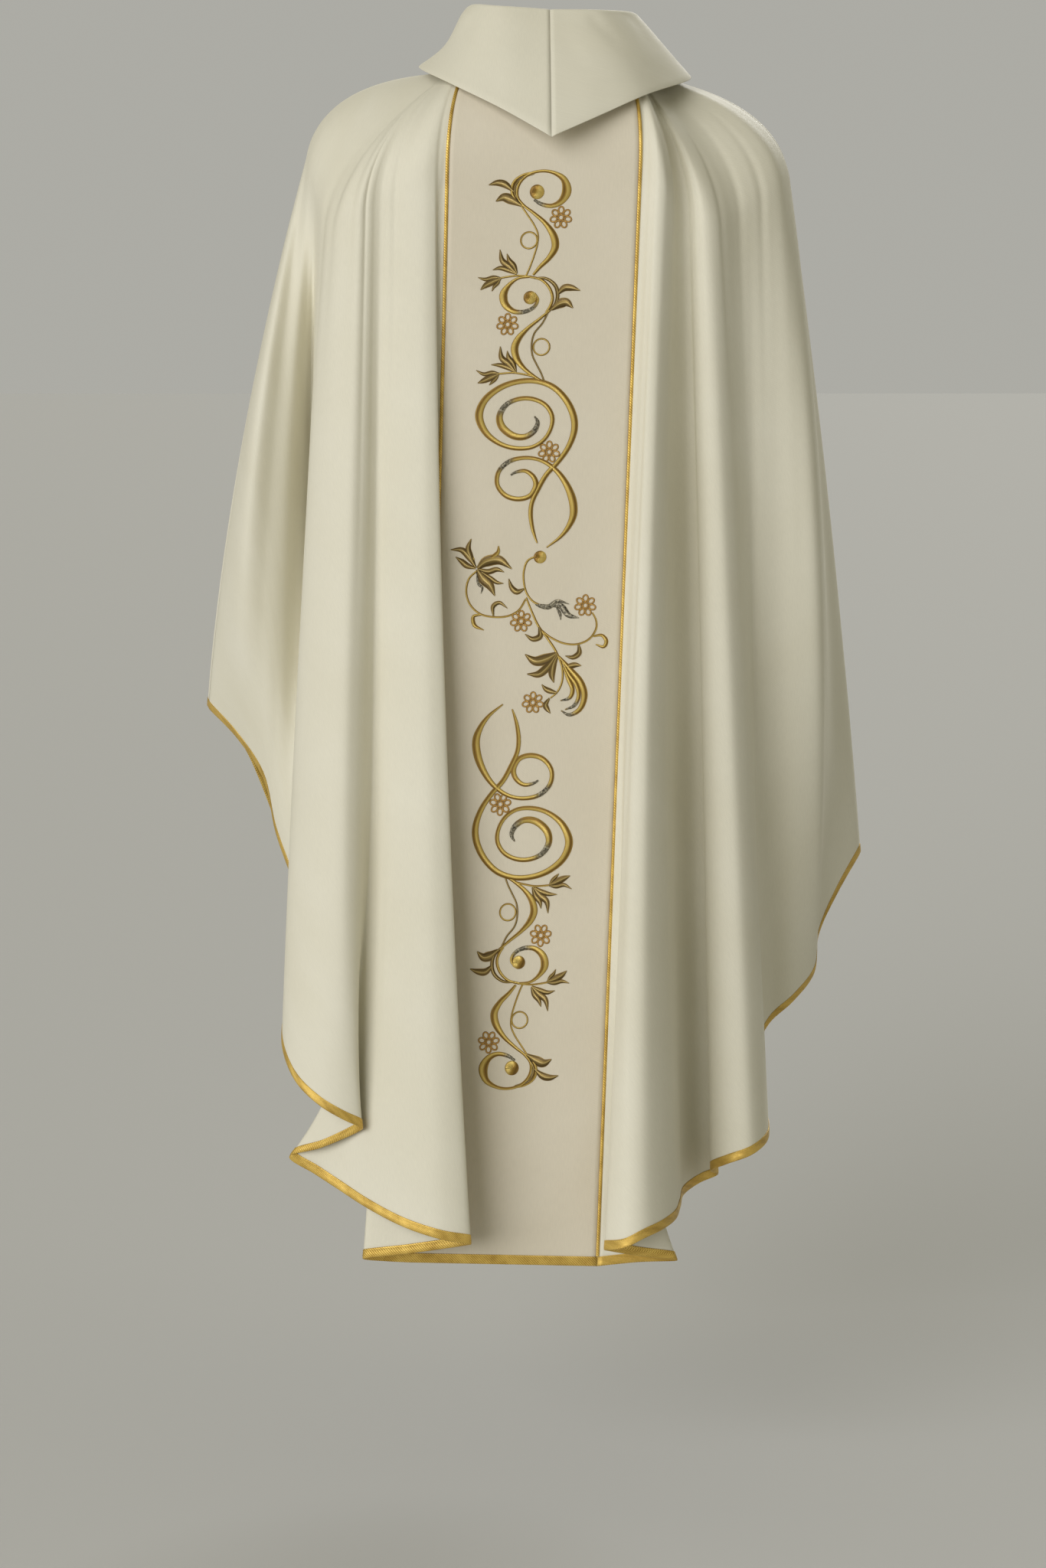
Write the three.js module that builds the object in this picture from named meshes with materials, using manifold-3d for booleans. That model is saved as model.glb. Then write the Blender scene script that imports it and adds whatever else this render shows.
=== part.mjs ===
// Chasuble: a wide sleeveless vestment, as it hangs on its wearer.
// Frame: millimetres, +Z up, origin at the centre of the neck opening at the height of the collar
// roll. The back faces -Y, the front +Y, and the wearer's right hand is on the +X side.
// The cloth is a skin through "ribs": lines that run from the neck seam over the shoulder and down
// to the hem, one along each fold, valley and seam.

import * as THREE from 'three';
import { mergeVertices } from 'three/addons/utils/BufferGeometryUtils.js';
import Module from 'manifold-3d';

// ---- driving dimensions (mm) ----
const CLOTH = 1.6;            // thickness of a body panel
const GAP = 0.3;              // clearance between touching pieces
const PIPING_WIDTH = 4;
const PIPING_HEIGHT = 2.8;
const PANEL_INSET = 2.8;      // cloth edge to seam line, beside the piping
const ORPHREY_INSET = 2.4;
const BINDING_DEPTH = 10;     // how far the hem binding reaches up the cloth
const BINDING_WALL = 0.8;
const NECK_HALF_WIDTH = 90;
const NECK_HALF_DEPTH = 85;
const NECK_HEIGHT = -64;      // neck seam at the sides
const NECK_RISE = 12;         // higher at the back, lower at the front
const SHOULDER_ROUND = 95;    // how far above a shoulder point the cloth starts to turn over
const COLLAR_PLY = 0.8;       // top collar and under collar
const INTERFACING_PLY = 0.5;
const COLLAR_BELLY = 8;       // how far the middle of the collar's fall rounds up
const COLLAR_LIFT = 6;        // half the width of the collar's rolled top
const COLLAR_TURN = 6;        // how far below its roll the stand and the fall are parallel
const COLLAR_ROUND = 4;       // how far the middle of the fall stands out
const STITCH_HEIGHT = 1.2;    // raised height of the satin stitch
const FLOWER_RADIUS = 9.5;
const BACKING_WIDTH = 160;
const BACKING_LENGTH = 930;
const BACKING_PLY = 0.6;
const TAPE_WIDTH = 12;
const TAPE_PLY = 1;
const TAPE_INSET = 7;         // from the neck seam to the tape, inside it
const TAPE_LIFT = 4;          // the tape's top edge is this far above the neck seam
const SEAM_ALLOWANCE = 7;     // each side of a shoulder seam
const SEAM_THICKNESS = 1;
const YOKE_ROWS = 4;          // rows of faces from the neck seam to the shoulder point
const FALL_ROWS = 6;          // rows of faces from the shoulder point to the hem binding
const COLUMNS_PER_FOLD = 2;

// ---- materials ----
const finish = (name, color, roughness, metalness = 0) =>
  new THREE.MeshStandardMaterial({ name, color, roughness, metalness, side: THREE.DoubleSide });
const ivory = () => finish('ivory_cloth', 0xdcd5bf, 0.75);
const goldBraid = () => finish('gold_braid', 0xb8903c, 0.45, 0.6);
const goldThread = () => finish('gold_thread', 0xb68a2e, 0.4, 0.6);
const stiffener = () => finish('stiffener', 0xe8e5dc, 0.9);

const point = ([x, y, z]) => new THREE.Vector3(x, y, z);

// ---- ribs ----
// A rib starts on the neck seam at an angle from centre back, turns over the shoulder point, bows
// through its middle and ends at the hem.
function rib(degrees, shoulder, middle, hem) {
  const angle = THREE.MathUtils.degToRad(degrees);
  const rise = NECK_RISE * Math.cos(angle);
  const neck = new THREE.Vector3(
    -NECK_HALF_WIDTH * Math.sin(angle), -NECK_HALF_DEPTH * Math.cos(angle), NECK_HEIGHT + rise);
  const top = point(shoulder);
  const bow = point(middle);
  const turn = top.clone().sub(bow).setLength(SHOULDER_ROUND).add(top);
  return {
    places: [[degrees], shoulder, middle, hem],
    yoke: new THREE.QuadraticBezierCurve3(neck, turn, top),
    fall: new THREE.QuadraticBezierCurve3(top, bow, point(hem)),
  };
}

const leftRibs = [
  rib(53, [-97, -152, -165], [-119, -159, -724], [-141, -166, -1282]),    // back left piping
  rib(56, [-112, -162, -190], [-128, -204, -710], [-138, -222, -1234]),   // inner fold
  rib(60, [-150, -145, -200], [-166, -162, -670], [-186, -184, -1140]),   // crease
  rib(64, [-176, -142, -215], [-205, -178, -650], [-229, -192, -1107]),   // outer fold
  rib(69, [-205, -122, -225], [-243, -154, -630], [-268, -150, -1060]),
  rib(74, [-216, -96, -210], [-246, -96, -610], [-262, -84, -1019]),
  rib(78, [-226, -70, -190], [-256, -50, -560], [-252, -20, -968]),       // valley under the arm
  rib(82, [-232, -42, -175], [-278, -12, -510], [-284, 50, -895]),
  rib(86, [-237, -14, -160], [-300, 20, -480], [-306, 30, -796]),
  rib(90, [-241, 15, -150], [-313, 60, -462], [-365, 90, -735]),          // left shoulder seam
  rib(97, [-236, 45, -155], [-316, 118, -465], [-346, 138, -755]),
  rib(104, [-218, 82, -175], [-288, 172, -470], [-292, 188, -895]),
  rib(111, [-194, 110, -200], [-246, 214, -480], [-252, 216, -980]),
  rib(118, [-165, 128, -220], [-205, 246, -500], [-215, 262, -1055]),     // fold over the forearm
  rib(126, [-140, 138, -235], [-166, 232, -520], [-175, 236, -1120]),
  rib(132, [-118, 148, -240], [-134, 250, -540], [-140, 262, -1165]),     // front inner fold
  rib(137, [-95, 150, -240], [-95, 197, -730], [-95, 244, -1220]),        // front left piping
];

// Listed from the back like the left side; used from the front, so that the hem runs one way round.
const rightRibs = [
  rib(-57, [94, -152, -165], [75, -159, -726], [55, -166, -1286]),        // back right piping
  rib(-60, [112, -162, -190], [116, -208, -700], [108, -232, -1240]),     // inner fold
  rib(-64, [128, -152, -205], [130, -180, -690], [136, -176, -1231]),
  rib(-68, [144, -135, -215], [146, -118, -670], [152, -84, -1228]),      // crease
  rib(-72, [165, -148, -230], [184, -168, -650], [200, -134, -1183]),     // outer fold
  rib(-76, [190, -130, -225], [208, -124, -630], [235, -90, -1170]),
  rib(-80, [214, -96, -205], [222, -62, -600], [238, -12, -1152]),        // valley under the arm
  rib(-84, [230, -66, -190], [258, -34, -560], [244, 34, -1085]),
  rib(-87, [240, -34, -180], [280, 2, -530], [286, 44, -1040]),
  rib(-90, [250, 15, -172], [280, 60, -460], [351, 120, -901]),           // right shoulder seam
  rib(-97, [240, 45, -170], [308, 118, -480], [330, 160, -940]),
  rib(-104, [220, 82, -180], [284, 172, -480], [284, 196, -985]),
  rib(-111, [195, 110, -200], [244, 214, -490], [248, 218, -1035]),
  rib(-118, [165, 128, -220], [205, 246, -505], [214, 264, -1085]),       // fold over the forearm
  rib(-126, [140, 138, -235], [166, 232, -522], [175, 238, -1135]),
  rib(-132, [118, 148, -240], [134, 250, -542], [140, 264, -1172]),       // front inner fold
  rib(-137, [95, 150, -240], [95, 197, -731], [95, 244, -1222]),          // front right piping
].reverse();
const LEFT_SEAM_RIB = 9;
const RIGHT_SEAM_RIB = 7;
const backPipings = [rightRibs.at(-1), leftRibs[0]];
const frontPipings = [leftRibs.at(-1), rightRibs[0]];

// Points down one rib: the yoke rows, the fall rows, and one last row inside the binding.
function ribPoints({ yoke, fall }) {
  const points = [];
  for (let row = 0; row < YOKE_ROWS; row += 1) points.push(yoke.getPoint(row / YOKE_ROWS));
  const bindingTop = 1 - BINDING_DEPTH / fall.getLength();
  for (let row = 0; row <= FALL_ROWS; row += 1) {
    points.push(fall.getPoint((row / FALL_ROWS) * bindingTop));
  }
  points.push(fall.getPoint(1));
  return points;
}

// A column of points for every fraction of the way round a set of ribs.
function columnsThrough(ribs, perFold) {
  const lines = ribs.map(ribPoints);
  const rowCurves = lines[0].map((_, row) => new THREE.CatmullRomCurve3(
    lines.map((line) => line[row]), false, 'centripetal'));
  const count = (ribs.length - 1) * perFold;
  return Array.from({ length: count + 1 }, (_, i) => rowCurves.map((c) => c.getPoint(i / count)));
}

// Moves the first or last column of a piece back from the seam line, square to that line.
function insetColumn(columns, edge, inset) {
  const last = columns.length - 1;
  const [at, next] = edge === 'start' ? [0, 1] : [last, last - 1];
  const result = columns.map((column) => column.map((p) => p.clone()));
  result[at].forEach((p, row) => {
    const line = columns[at];
    const along = line[Math.min(row + 1, line.length - 1)].clone()
      .sub(line[Math.max(row - 1, 0)]).normalize();
    const toward = columns[next][row].clone().sub(p);
    p.add(toward.addScaledVector(along, -toward.dot(along)).setLength(inset));
  });
  return result;
}

// ---- solids from grids ----
function gridNormals(columns, closed = false) {
  const count = columns.length;
  return columns.map((column, i) => column.map((p, row) => {
    const before = columns[closed ? (i + count - 1) % count : Math.max(i - 1, 0)][row];
    const after = columns[closed ? (i + 1) % count : Math.min(i + 1, count - 1)][row];
    const above = column[Math.max(row - 1, 0)];
    const below = column[Math.min(row + 1, column.length - 1)];
    const across = after.clone().sub(before);
    const down = below.clone().sub(above);
    return down.cross(across).normalize();
  }));
}

function meshFromTriangles(vertices, triangles) {
  const geometry = new THREE.BufferGeometry();
  geometry.setAttribute('position', new THREE.Float32BufferAttribute(
    vertices.flatMap((v) => [v.x, v.y, v.z]), 3));
  geometry.setIndex(triangles.flat());
  let volume = 0;
  for (const [a, b, c] of triangles) {
    volume += vertices[a].dot(vertices[b].clone().cross(vertices[c]));
  }
  if (volume < 0) geometry.setIndex(triangles.flatMap(([a, b, c]) => [a, c, b]));
  return geometry;
}

// A closed sheet between two offsets from a grid. A closed grid joins its last column to its first.
function sheet(columns, low, high, { closed = false, normals = gridNormals(columns, closed) } = {}) {
  const count = columns.length;
  const rows = columns[0].length;
  const vertices = [];
  for (const offset of [low, high]) {
    columns.forEach((column, i) => column.forEach((p, row) => {
      vertices.push(p.clone().addScaledVector(normals[i][row], offset));
    }));
  }
  const index = (layer, i, row) => layer * count * rows + (i % count) * rows + row;
  const triangles = [];
  const quad = (a, b, c, d) => triangles.push([a, b, c], [a, c, d]);
  const spans = closed ? count : count - 1;
  for (let i = 0; i < spans; i += 1) {
    for (let row = 0; row < rows - 1; row += 1) {
      quad(index(1, i, row), index(1, i, row + 1), index(1, i + 1, row + 1), index(1, i + 1, row));
      triangles.push(
        [index(0, i, row), index(0, i + 1, row + 1), index(0, i, row + 1)],
        [index(0, i, row), index(0, i + 1, row), index(0, i + 1, row + 1)]);
    }
    quad(index(0, i, 0), index(1, i, 0), index(1, i + 1, 0), index(0, i + 1, 0));
    const end = rows - 1;
    quad(index(0, i + 1, end), index(1, i + 1, end), index(1, i, end), index(0, i, end));
  }
  if (!closed) {
    for (let row = 0; row < rows - 1; row += 1) {
      quad(index(0, 0, row + 1), index(1, 0, row + 1), index(1, 0, row), index(0, 0, row));
      const end = count - 1;
      quad(index(0, end, row), index(1, end, row), index(1, end, row + 1), index(0, end, row + 1));
    }
  }
  return meshFromTriangles(vertices, triangles);
}

// A bar whose section, in (out, up) pairs, is carried through stations; a loop when it is closed.
function sweep(stations, section, closed) {
  const sides = section.length;
  const vertices = stations.flatMap(({ at, out, up }) => section.map(([o, u]) =>
    at.clone().addScaledVector(out, o).addScaledVector(up, u)));
  const triangles = [];
  const spans = closed ? stations.length : stations.length - 1;
  for (let i = 0; i < spans; i += 1) {
    const next = (i + 1) % stations.length;
    for (let s = 0; s < sides; s += 1) {
      const t = (s + 1) % sides;
      const [a, b, c, d] = [i * sides + s, i * sides + t, next * sides + t, next * sides + s];
      if (section[t][1] > section[s][1]) triangles.push([a, b, d], [b, c, d]);
      else triangles.push([a, b, c], [a, c, d]);
    }
  }
  if (!closed) {
    const end = (stations.length - 1) * sides;
    for (let s = 1; s < sides - 1; s += 1) {
      triangles.push([0, s + 1, s], [end, end + s, end + s + 1]);
    }
  }
  return meshFromTriangles(vertices, triangles);
}

const chasuble = new THREE.Group();
chasuble.name = 'chasuble';
function add(name, geometry, material) {
  const mesh = new THREE.Mesh(geometry, material);
  mesh.name = name;
  chasuble.add(mesh);
  return mesh;
}

// ---- body panels ----
// Each side is one skin from the back piping round the arm to the front piping, cut at its
// shoulder seam. The orphreys are flat below the shoulder points and round above them.
const panelSheet = ({ grid, normals }) => sheet(grid, -CLOTH / 2, CLOTH / 2, { normals });
function sidePanels(ribs, seamRib, firstName, secondName) {
  const columns = columnsThrough(ribs, COLUMNS_PER_FOLD);
  const cut = seamRib * COLUMNS_PER_FOLD;
  const normals = gridNormals(columns);
  const first = {
    grid: insetColumn(insetColumn(columns.slice(0, cut + 1), 'start', PANEL_INSET), 'end', GAP / 2),
    normals: normals.slice(0, cut + 1),
  };
  const second = {
    grid: insetColumn(insetColumn(columns.slice(cut), 'start', GAP / 2), 'end', PANEL_INSET),
    normals: normals.slice(cut),
  };
  add(firstName, panelSheet(first), ivory());
  add(secondName, panelSheet(second), ivory());
  return { columns, normals, cut, first, second };
}
const left = sidePanels(leftRibs, LEFT_SEAM_RIB, 'back_left_panel', 'front_left_panel');
const right = sidePanels(rightRibs, RIGHT_SEAM_RIB, 'front_right_panel', 'back_right_panel');

const ORPHREY_COLUMNS = 6;
function orphrey(name, [start, end], turn) {
  const columns = Array.from({ length: ORPHREY_COLUMNS + 1 }, (_, i) => {
    const places = start.places.map((from, k) => from.map((value, axis) => {
      const to = end.places[k][axis] + (k === 0 ? turn : 0);
      return THREE.MathUtils.lerp(value, to, i / ORPHREY_COLUMNS);
    }));
    return ribPoints(rib(places[0][0], ...places.slice(1)));
  });
  const grid = insetColumn(insetColumn(columns, 'start', ORPHREY_INSET), 'end', ORPHREY_INSET);
  const piece = { grid, normals: gridNormals(columns) };
  add(name, panelSheet(piece), ivory());
  return piece;
}
// The front one passes 180 degrees, so its right side's angle takes a whole turn.
const backOrphrey = orphrey('back_orphrey', backPipings, 0);
const frontOrphrey = orphrey('front_orphrey', frontPipings, 360);

// ---- piping ----
const PIPING_SHORT = 0.02;    // the last step stops this part short, clear of the binding
function piping(name, line, { grid }) {
  const [acrossFrom, acrossTo] = [grid[0], grid.at(-1)];
  const ps = ribPoints(line);
  ps.pop();
  const stop = ps.length - 1;
  const stations = ps.map((p, row) => {
    const down = ps[Math.min(row + 1, stop)].clone().sub(ps[Math.max(row - 1, 0)]).normalize();
    const across = acrossTo[row].clone().sub(acrossFrom[row]).normalize();
    const out = down.clone().cross(across).normalize();
    return { at: p.clone(), out, up: across };
  });
  stations[stop].at.lerp(stations[stop - 1].at, PIPING_SHORT);
  const [h, w] = [PIPING_HEIGHT / 2, PIPING_WIDTH / 2];
  const section = [[0, w], [h, w / 2], [h, -w / 2], [0, -w], [-h, -w / 2], [-h, w / 2]];
  add(name, sweep(stations, section, false), goldBraid());
}
piping('back_right_piping', backPipings[0], backOrphrey);
piping('back_left_piping', backPipings[1], backOrphrey);
piping('front_left_piping', frontPipings[0], frontOrphrey);
piping('front_right_piping', frontPipings[1], frontOrphrey);

// ---- hem binding ----
// One folded strip round the whole hem, in the order back orphrey, left side, front orphrey,
// right side, with the cloth edge in its slot.
function hemStations({ grid, normals }) {
  const end = grid[0].length - 1;
  return grid.map((column, i) => ({
    at: column[end].clone(),
    out: normals[i][end],
    up: column[end - 1].clone().sub(column[end]).normalize(),
  }));
}
const hem = [backOrphrey, left.first, left.second, frontOrphrey, right.first, right.second]
  .flatMap(hemStations);
const slot = CLOTH / 2 + GAP;
const outer = slot + BINDING_WALL;
add('hem_binding', sweep(hem, [
  [outer, BINDING_DEPTH], [slot, BINDING_DEPTH], [slot, -GAP], [-slot, -GAP],
  [-slot, BINDING_DEPTH], [-outer, BINDING_DEPTH], [-outer, -GAP - BINDING_WALL],
  [outer, -GAP - BINDING_WALL]], true), goldBraid());

// ---- shoulder seams ----
// The felled allowances lie under each seam, inside the garment.
function shoulderSeam(name, { columns, normals, cut }) {
  const line = columns[cut];
  const toward = (i, row) => columns[i][row].clone().sub(line[row]).setLength(SEAM_ALLOWANCE);
  const rows = line.map((_, row) => row).slice(1, -2);
  const strip = [-1, 0, 1].map((k) => rows.map((row) => (k === 0
    ? line[row].clone()
    : line[row].clone().add(toward(cut + k, row)))));
  const stripNormals = strip.map(() => rows.map((row) => normals[cut][row]));
  const inner = -(CLOTH / 2 + 4 * GAP);
  add(name, sheet(strip, inner - SEAM_THICKNESS, inner, { normals: stripNormals }), ivory());
}
shoulderSeam('left_shoulder_seam', left);
shoulderSeam('right_shoulder_seam', right);

// ---- collar ----
// Half a collar is a grid from centre back to centre front: up the stand from the neck seam, over
// the roll, and down the fall to its pointed edge. Three plies follow the same grid.
const rollLine = (side) => (side < 0
  ? [[5, -80, -8], [-46, -72, -4], [-80, -22, 0], [-82, 20, -8], [-54, 72, -30], [0, 94, -44]]
  : [[5, -80, -8], [56, -72, -8], [98, -26, -6], [98, 20, -14], [58, 72, -34], [0, 94, -44]]);
const edgeLine = (side) => (side < 0
  ? [[6, -182, -136], [-43, -160, -108], [-90, -126, -84], [-127, -36, -62], [-122, 6, -58],
    [-112, 54, -70], [-66, 140, -146], [0, 168, -200]]
  : [[6, -182, -136], [55, -160, -114], [98, -130, -94], [148, -36, -73], [142, 6, -66],
    [122, 54, -78], [70, 140, -150], [0, 168, -200]]);
const COLLAR_COLUMNS = 12;
const STAND_FOOT = 6;         // the stand starts this far above the neck seam
const STAND_INSET = 4;        // and this far inside it
function collarGrid(side) {
  const roll = new THREE.CatmullRomCurve3(rollLine(side).map(point), false, 'centripetal');
  const edge = new THREE.CatmullRomCurve3(edgeLine(side).map(point), false, 'centripetal');
  return Array.from({ length: COLLAR_COLUMNS + 1 }, (_, i) => {
    const s = i / COLLAR_COLUMNS;
    const top = roll.getPoint(s);
    const bottom = edge.getPoint(s);
    const angle = Math.PI * s;
    const foot = new THREE.Vector3(
      side * (NECK_HALF_WIDTH - STAND_INSET) * Math.sin(angle),
      -(NECK_HALF_DEPTH - STAND_INSET) * Math.cos(angle),
      NECK_HEIGHT + NECK_RISE * Math.cos(angle) + STAND_FOOT);
    const away = bottom.clone().sub(top).setZ(0).normalize();
    const inner = top.clone().addScaledVector(away, -COLLAR_LIFT).add(new THREE.Vector3(0, 0, -COLLAR_TURN));
    const crown = top.clone();
    const outside = top.clone().addScaledVector(away, COLLAR_LIFT).add(new THREE.Vector3(0, 0, 1 - COLLAR_TURN));
    const middle = outside.clone().lerp(bottom, 0.5).addScaledVector(away, COLLAR_ROUND);
    middle.z += COLLAR_BELLY;
    return [foot, inner, crown, outside, middle, bottom];
  });
}
for (const [side, name] of [[-1, 'left'], [1, 'right']]) {
  const halfGrid = collarGrid(side);
  const normals = gridNormals(halfGrid);
  // The end columns meet the other half, so their plies stay in the seam plane.
  for (const column of [normals[0], normals.at(-1)]) column.forEach((n) => n.setX(0).normalize());
  const grid = insetColumn(insetColumn(halfGrid, 'start', GAP / 2), 'end', GAP / 2);
  const face = -side;
  const ply = (low, high) => sheet(grid, low * face, high * face, { normals });
  const core = INTERFACING_PLY / 2;
  add(`collar_${name}`, ply(core + GAP, core + GAP + COLLAR_PLY), ivory());
  add(`collar_interfacing_${name}`, ply(-core, core), stiffener());
  add(`under_collar_${name}`, ply(-core - GAP - COLLAR_PLY, -core - GAP), ivory());
}

// ---- neck seam tape ----
const TAPE_STEPS = 24;
const tapeGrid = Array.from({ length: TAPE_STEPS }, (_, i) => {
  const angle = (2 * Math.PI * i) / TAPE_STEPS;
  const height = NECK_HEIGHT + NECK_RISE * Math.cos(angle) + TAPE_LIFT;
  return [0, -TAPE_WIDTH].map((dz) => new THREE.Vector3(
    -(NECK_HALF_WIDTH - TAPE_INSET) * Math.sin(angle),
    -(NECK_HALF_DEPTH - TAPE_INSET) * Math.cos(angle), height + dz));
});
add('neck_seam_tape', sheet(tapeGrid, -TAPE_PLY / 2, TAPE_PLY / 2, { closed: true }), ivory());

// ---- embroidery ----
// Laid out on the orphrey in (across, down, width): down is measured from the start of the flat
// stretch, across from the orphrey's own centre line.
const upperScroll = {
  ribbons: [
    [[-8, 47, 2], [9, 52, 4], [18, 48, 6], [24, 38, 8.5], [20, 27, 6], [11, 21, 3.5], [-1, 18, 2.5],
      [-13, 21, 2.5], [-25, 35, 2.5], [-25, 44, 2], [-19, 52, 2], [-8, 60, 3], [4, 70, 4],
      [13, 83, 6.5], [14, 93, 6.5], [9, 103, 5], [-10, 122, 2]],
    [[-7, 20, 1.5], [-20, 22, 2], [-29, 29, 2.5], [-31, 38, 3], [-26, 47, 2], [-18, 53, 1.5]],
    [[-21, 52, 1.5], [-7, 71, 1.5], [-3, 85, 1.5], [-6, 101, 1.5], [-13, 124, 1.5]],
    [[-10, 122, 2], [-22, 124, 2.5], [-31, 131, 4], [-35, 140, 7], [-33, 149, 6.5], [-25, 156, 4],
      [-13, 156, 3], [-4, 151, 2.5], [-1, 144, 2], [-6, 140, 2]],
    [[-10, 122, 2], [6, 124, 2.5], [16, 131, 3.5], [18, 140, 3.5], [11, 155, 2], [1, 164, 2.5],
      [-10, 173, 3.5], [-19, 184, 6], [-22, 193, 6.5], [-20, 203, 6], [-12, 212, 4], [8, 230, 2]],
    [[10, 156, 1.5], [-3, 178, 1.5], [-5, 190, 1.5], [0, 209, 1.5], [8, 225, 1.5]],
    [[0, 260, 1], [1, 274, 5], [-8, 280, 5.5], [-20, 280, 6], [-32, 270, 6.5], [-35, 260, 6],
      [-28, 248, 4.5], [-15, 242, 4], [-1, 243, 4], [11, 249, 4], [18, 260, 4], [17, 271, 3.5],
      [10, 283, 3.5], [-1, 290, 3.5], [-17, 292, 4], [-34, 287, 4.5], [-48, 276, 6], [-55, 260, 7],
      [-51, 245, 6], [-36, 232, 5], [-18, 226, 5], [1, 225, 5], [18, 231, 5], [31, 244, 6],
      [39, 260, 6], [40, 274, 6], [35, 290, 5], [25, 305, 4.5], [14, 318, 4.5], [6, 332, 4.5],
      [1, 346, 4], [0, 358, 4], [2, 372, 3], [7, 386, 1]],
    [[-22, 319, 1], [-7, 314, 3.5], [1, 320, 4.5], [4, 329, 5], [-1, 339, 4.5], [-13, 343, 4.5],
      [-26, 339, 4.5], [-35, 329, 4], [-34, 316, 4], [-24, 305, 4], [-8, 301, 3.5], [9, 304, 3.5],
      [23, 313, 4.5], [34, 327, 6], [41, 344, 7], [43, 358, 6.5], [38, 370, 5], [17, 391, 1]],
    [[-28, 36, 1], [-42, 34, 5], [-54, 32, 1]], [[-22, 50, 1], [-34, 49, 5], [-46, 48, 1]],
    [[-12, 122, 1.5], [-38, 123, 2], [-50, 123, 4], [-61, 123, 1]],
    [[-20, 123, 1.5], [-32, 108, 5], [-41, 96, 1]], [[-38, 123, 1], [-48, 130, 4], [-58, 134, 1]],
    [[16, 138, 2], [28, 138, 6], [40, 136, 1]], [[12, 152, 2], [24, 153, 6], [34, 152, 1]],
    [[8, 226, 2], [-22, 217, 2], [-48, 215, 4], [-60, 214, 1]],
    [[-20, 217, 1.5], [-30, 204, 5], [-37, 191, 1]], [[-38, 216, 1], [-48, 223, 4], [-58, 227, 1]],
  ],
  dots: [[-6, 39, 7], [-9, 143, 6.5]],
  rings: [[-12, 86, 8.5], [4, 191, 8.5]],
  flowers: [[19, 64], [-30, 169], [16, 295]],
};
const vine = {
  ribbons: [
    [[7, 399, 1.5], [-1, 404, 1.5], [-5, 415, 1.5], [-4, 427, 1.5], [5, 445, 1.5], [14, 450, 2],
      [24, 449, 4], [33, 446, 4.5], [42, 452, 4], [52, 462, 1]],
    [[-51, 414, 1.5], [-60, 423, 1.5], [-62, 436, 1.5], [-58, 449, 1.5], [-47, 458, 1.5],
      [-33, 462, 1.5], [-19, 460, 1.5], [-9, 454, 1.5], [2, 443, 1.5]],
    [[0, 436, 1.5], [4, 455, 1.5], [12, 470, 2], [22, 483, 2], [31, 496, 2], [37, 512, 1.5],
      [38, 526, 1.5], [34, 537, 1.5], [25, 545, 2], [26, 560, 1]],
    [[12, 471, 1.5], [24, 481, 1.5], [39, 488, 1.5], [53, 488, 1.5], [64, 482, 1.5],
      [70, 471, 1.5], [69, 463, 1.5]],
    [[64, 482, 1.5], [75, 479, 2], [80, 485, 3], [78, 492, 2.5], [71, 491, 1]],
    [[-35, 462, 1.5], [-35, 453, 2.5], [-28, 448, 3.5], [-19, 451, 1]],
    [[-48, 458, 1.5], [-54, 464, 3.5], [-51, 471, 3], [-43, 474, 1]],
    [[-2, 479, 1], [7, 482, 3.5], [14, 473, 4]], [[1, 438, 1], [-12, 431, 4], [-20, 423, 1]],
    [[54, 488, 1], [49, 496, 4], [40, 501, 1]], [[37, 511, 1], [46, 512, 4], [57, 510, 1]],
    [[33, 500, 2], [43, 510, 4], [53, 521, 7], [60, 538, 8], [57, 552, 6.5], [48, 559, 5],
      [38, 556, 1]],
    [[-50, 416, 2], [-66, 405, 7], [-78, 394, 1]], [[-51, 415, 2], [-60, 396, 7], [-60, 383, 1]],
    [[-51, 415, 2], [-38, 404, 7], [-31, 391, 1]], [[-51, 416, 2], [-34, 414, 6], [-17, 412, 1]],
    [[-51, 415, 2], [-47, 428, 7], [-47, 438, 1]], [[-51, 415, 2], [-38, 428, 6], [-34, 440, 1]],
    [[33, 499, 2], [16, 497, 7], [0, 500, 1]], [[33, 500, 2], [16, 512, 7], [2, 522, 1]],
    [[34, 500, 2], [30, 513, 6], [28, 527, 1]], [[34, 537, 1], [24, 535, 4], [16, 530, 1]],
  ],
  dots: [[11, 400, 6.4]],
  rings: [],
  flowers: [[-6, 466], [58, 449], [9, 548]],
};
// The lower scroll is the upper one turned half way round about the middle of the vine.
const TURN_ACROSS = -4;
const TURN_DOWN = 948;
const turned = ([a, d, ...rest]) => [TURN_ACROSS - a, TURN_DOWN - d, ...rest];
const lowerScroll = {
  ribbons: upperScroll.ribbons.map((ribbon) => ribbon.map(turned)),
  dots: upperScroll.dots.map(turned),
  rings: upperScroll.rings.map(turned),
  flowers: upperScroll.flowers.map(turned),
};

const wasm = await Module();
wasm.setup();
function manifoldOf(geometry) {
  const bare = geometry.clone();
  bare.deleteAttribute('normal');
  bare.deleteAttribute('uv');
  const merged = mergeVertices(bare, 1e-4);
  return new wasm.Manifold(new wasm.Mesh({
    numProp: 3,
    vertProperties: new Float32Array(merged.attributes.position.array),
    triVerts: new Uint32Array(merged.index.array),
  }));
}
function geometryOf(solid) {
  const mesh = solid.getMesh();
  const geometry = new THREE.BufferGeometry();
  geometry.setAttribute('position', new THREE.BufferAttribute(new Float32Array(mesh.vertProperties), 3));
  geometry.setIndex(new THREE.BufferAttribute(new Uint32Array(mesh.triVerts), 1));
  return geometry;
}

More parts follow.
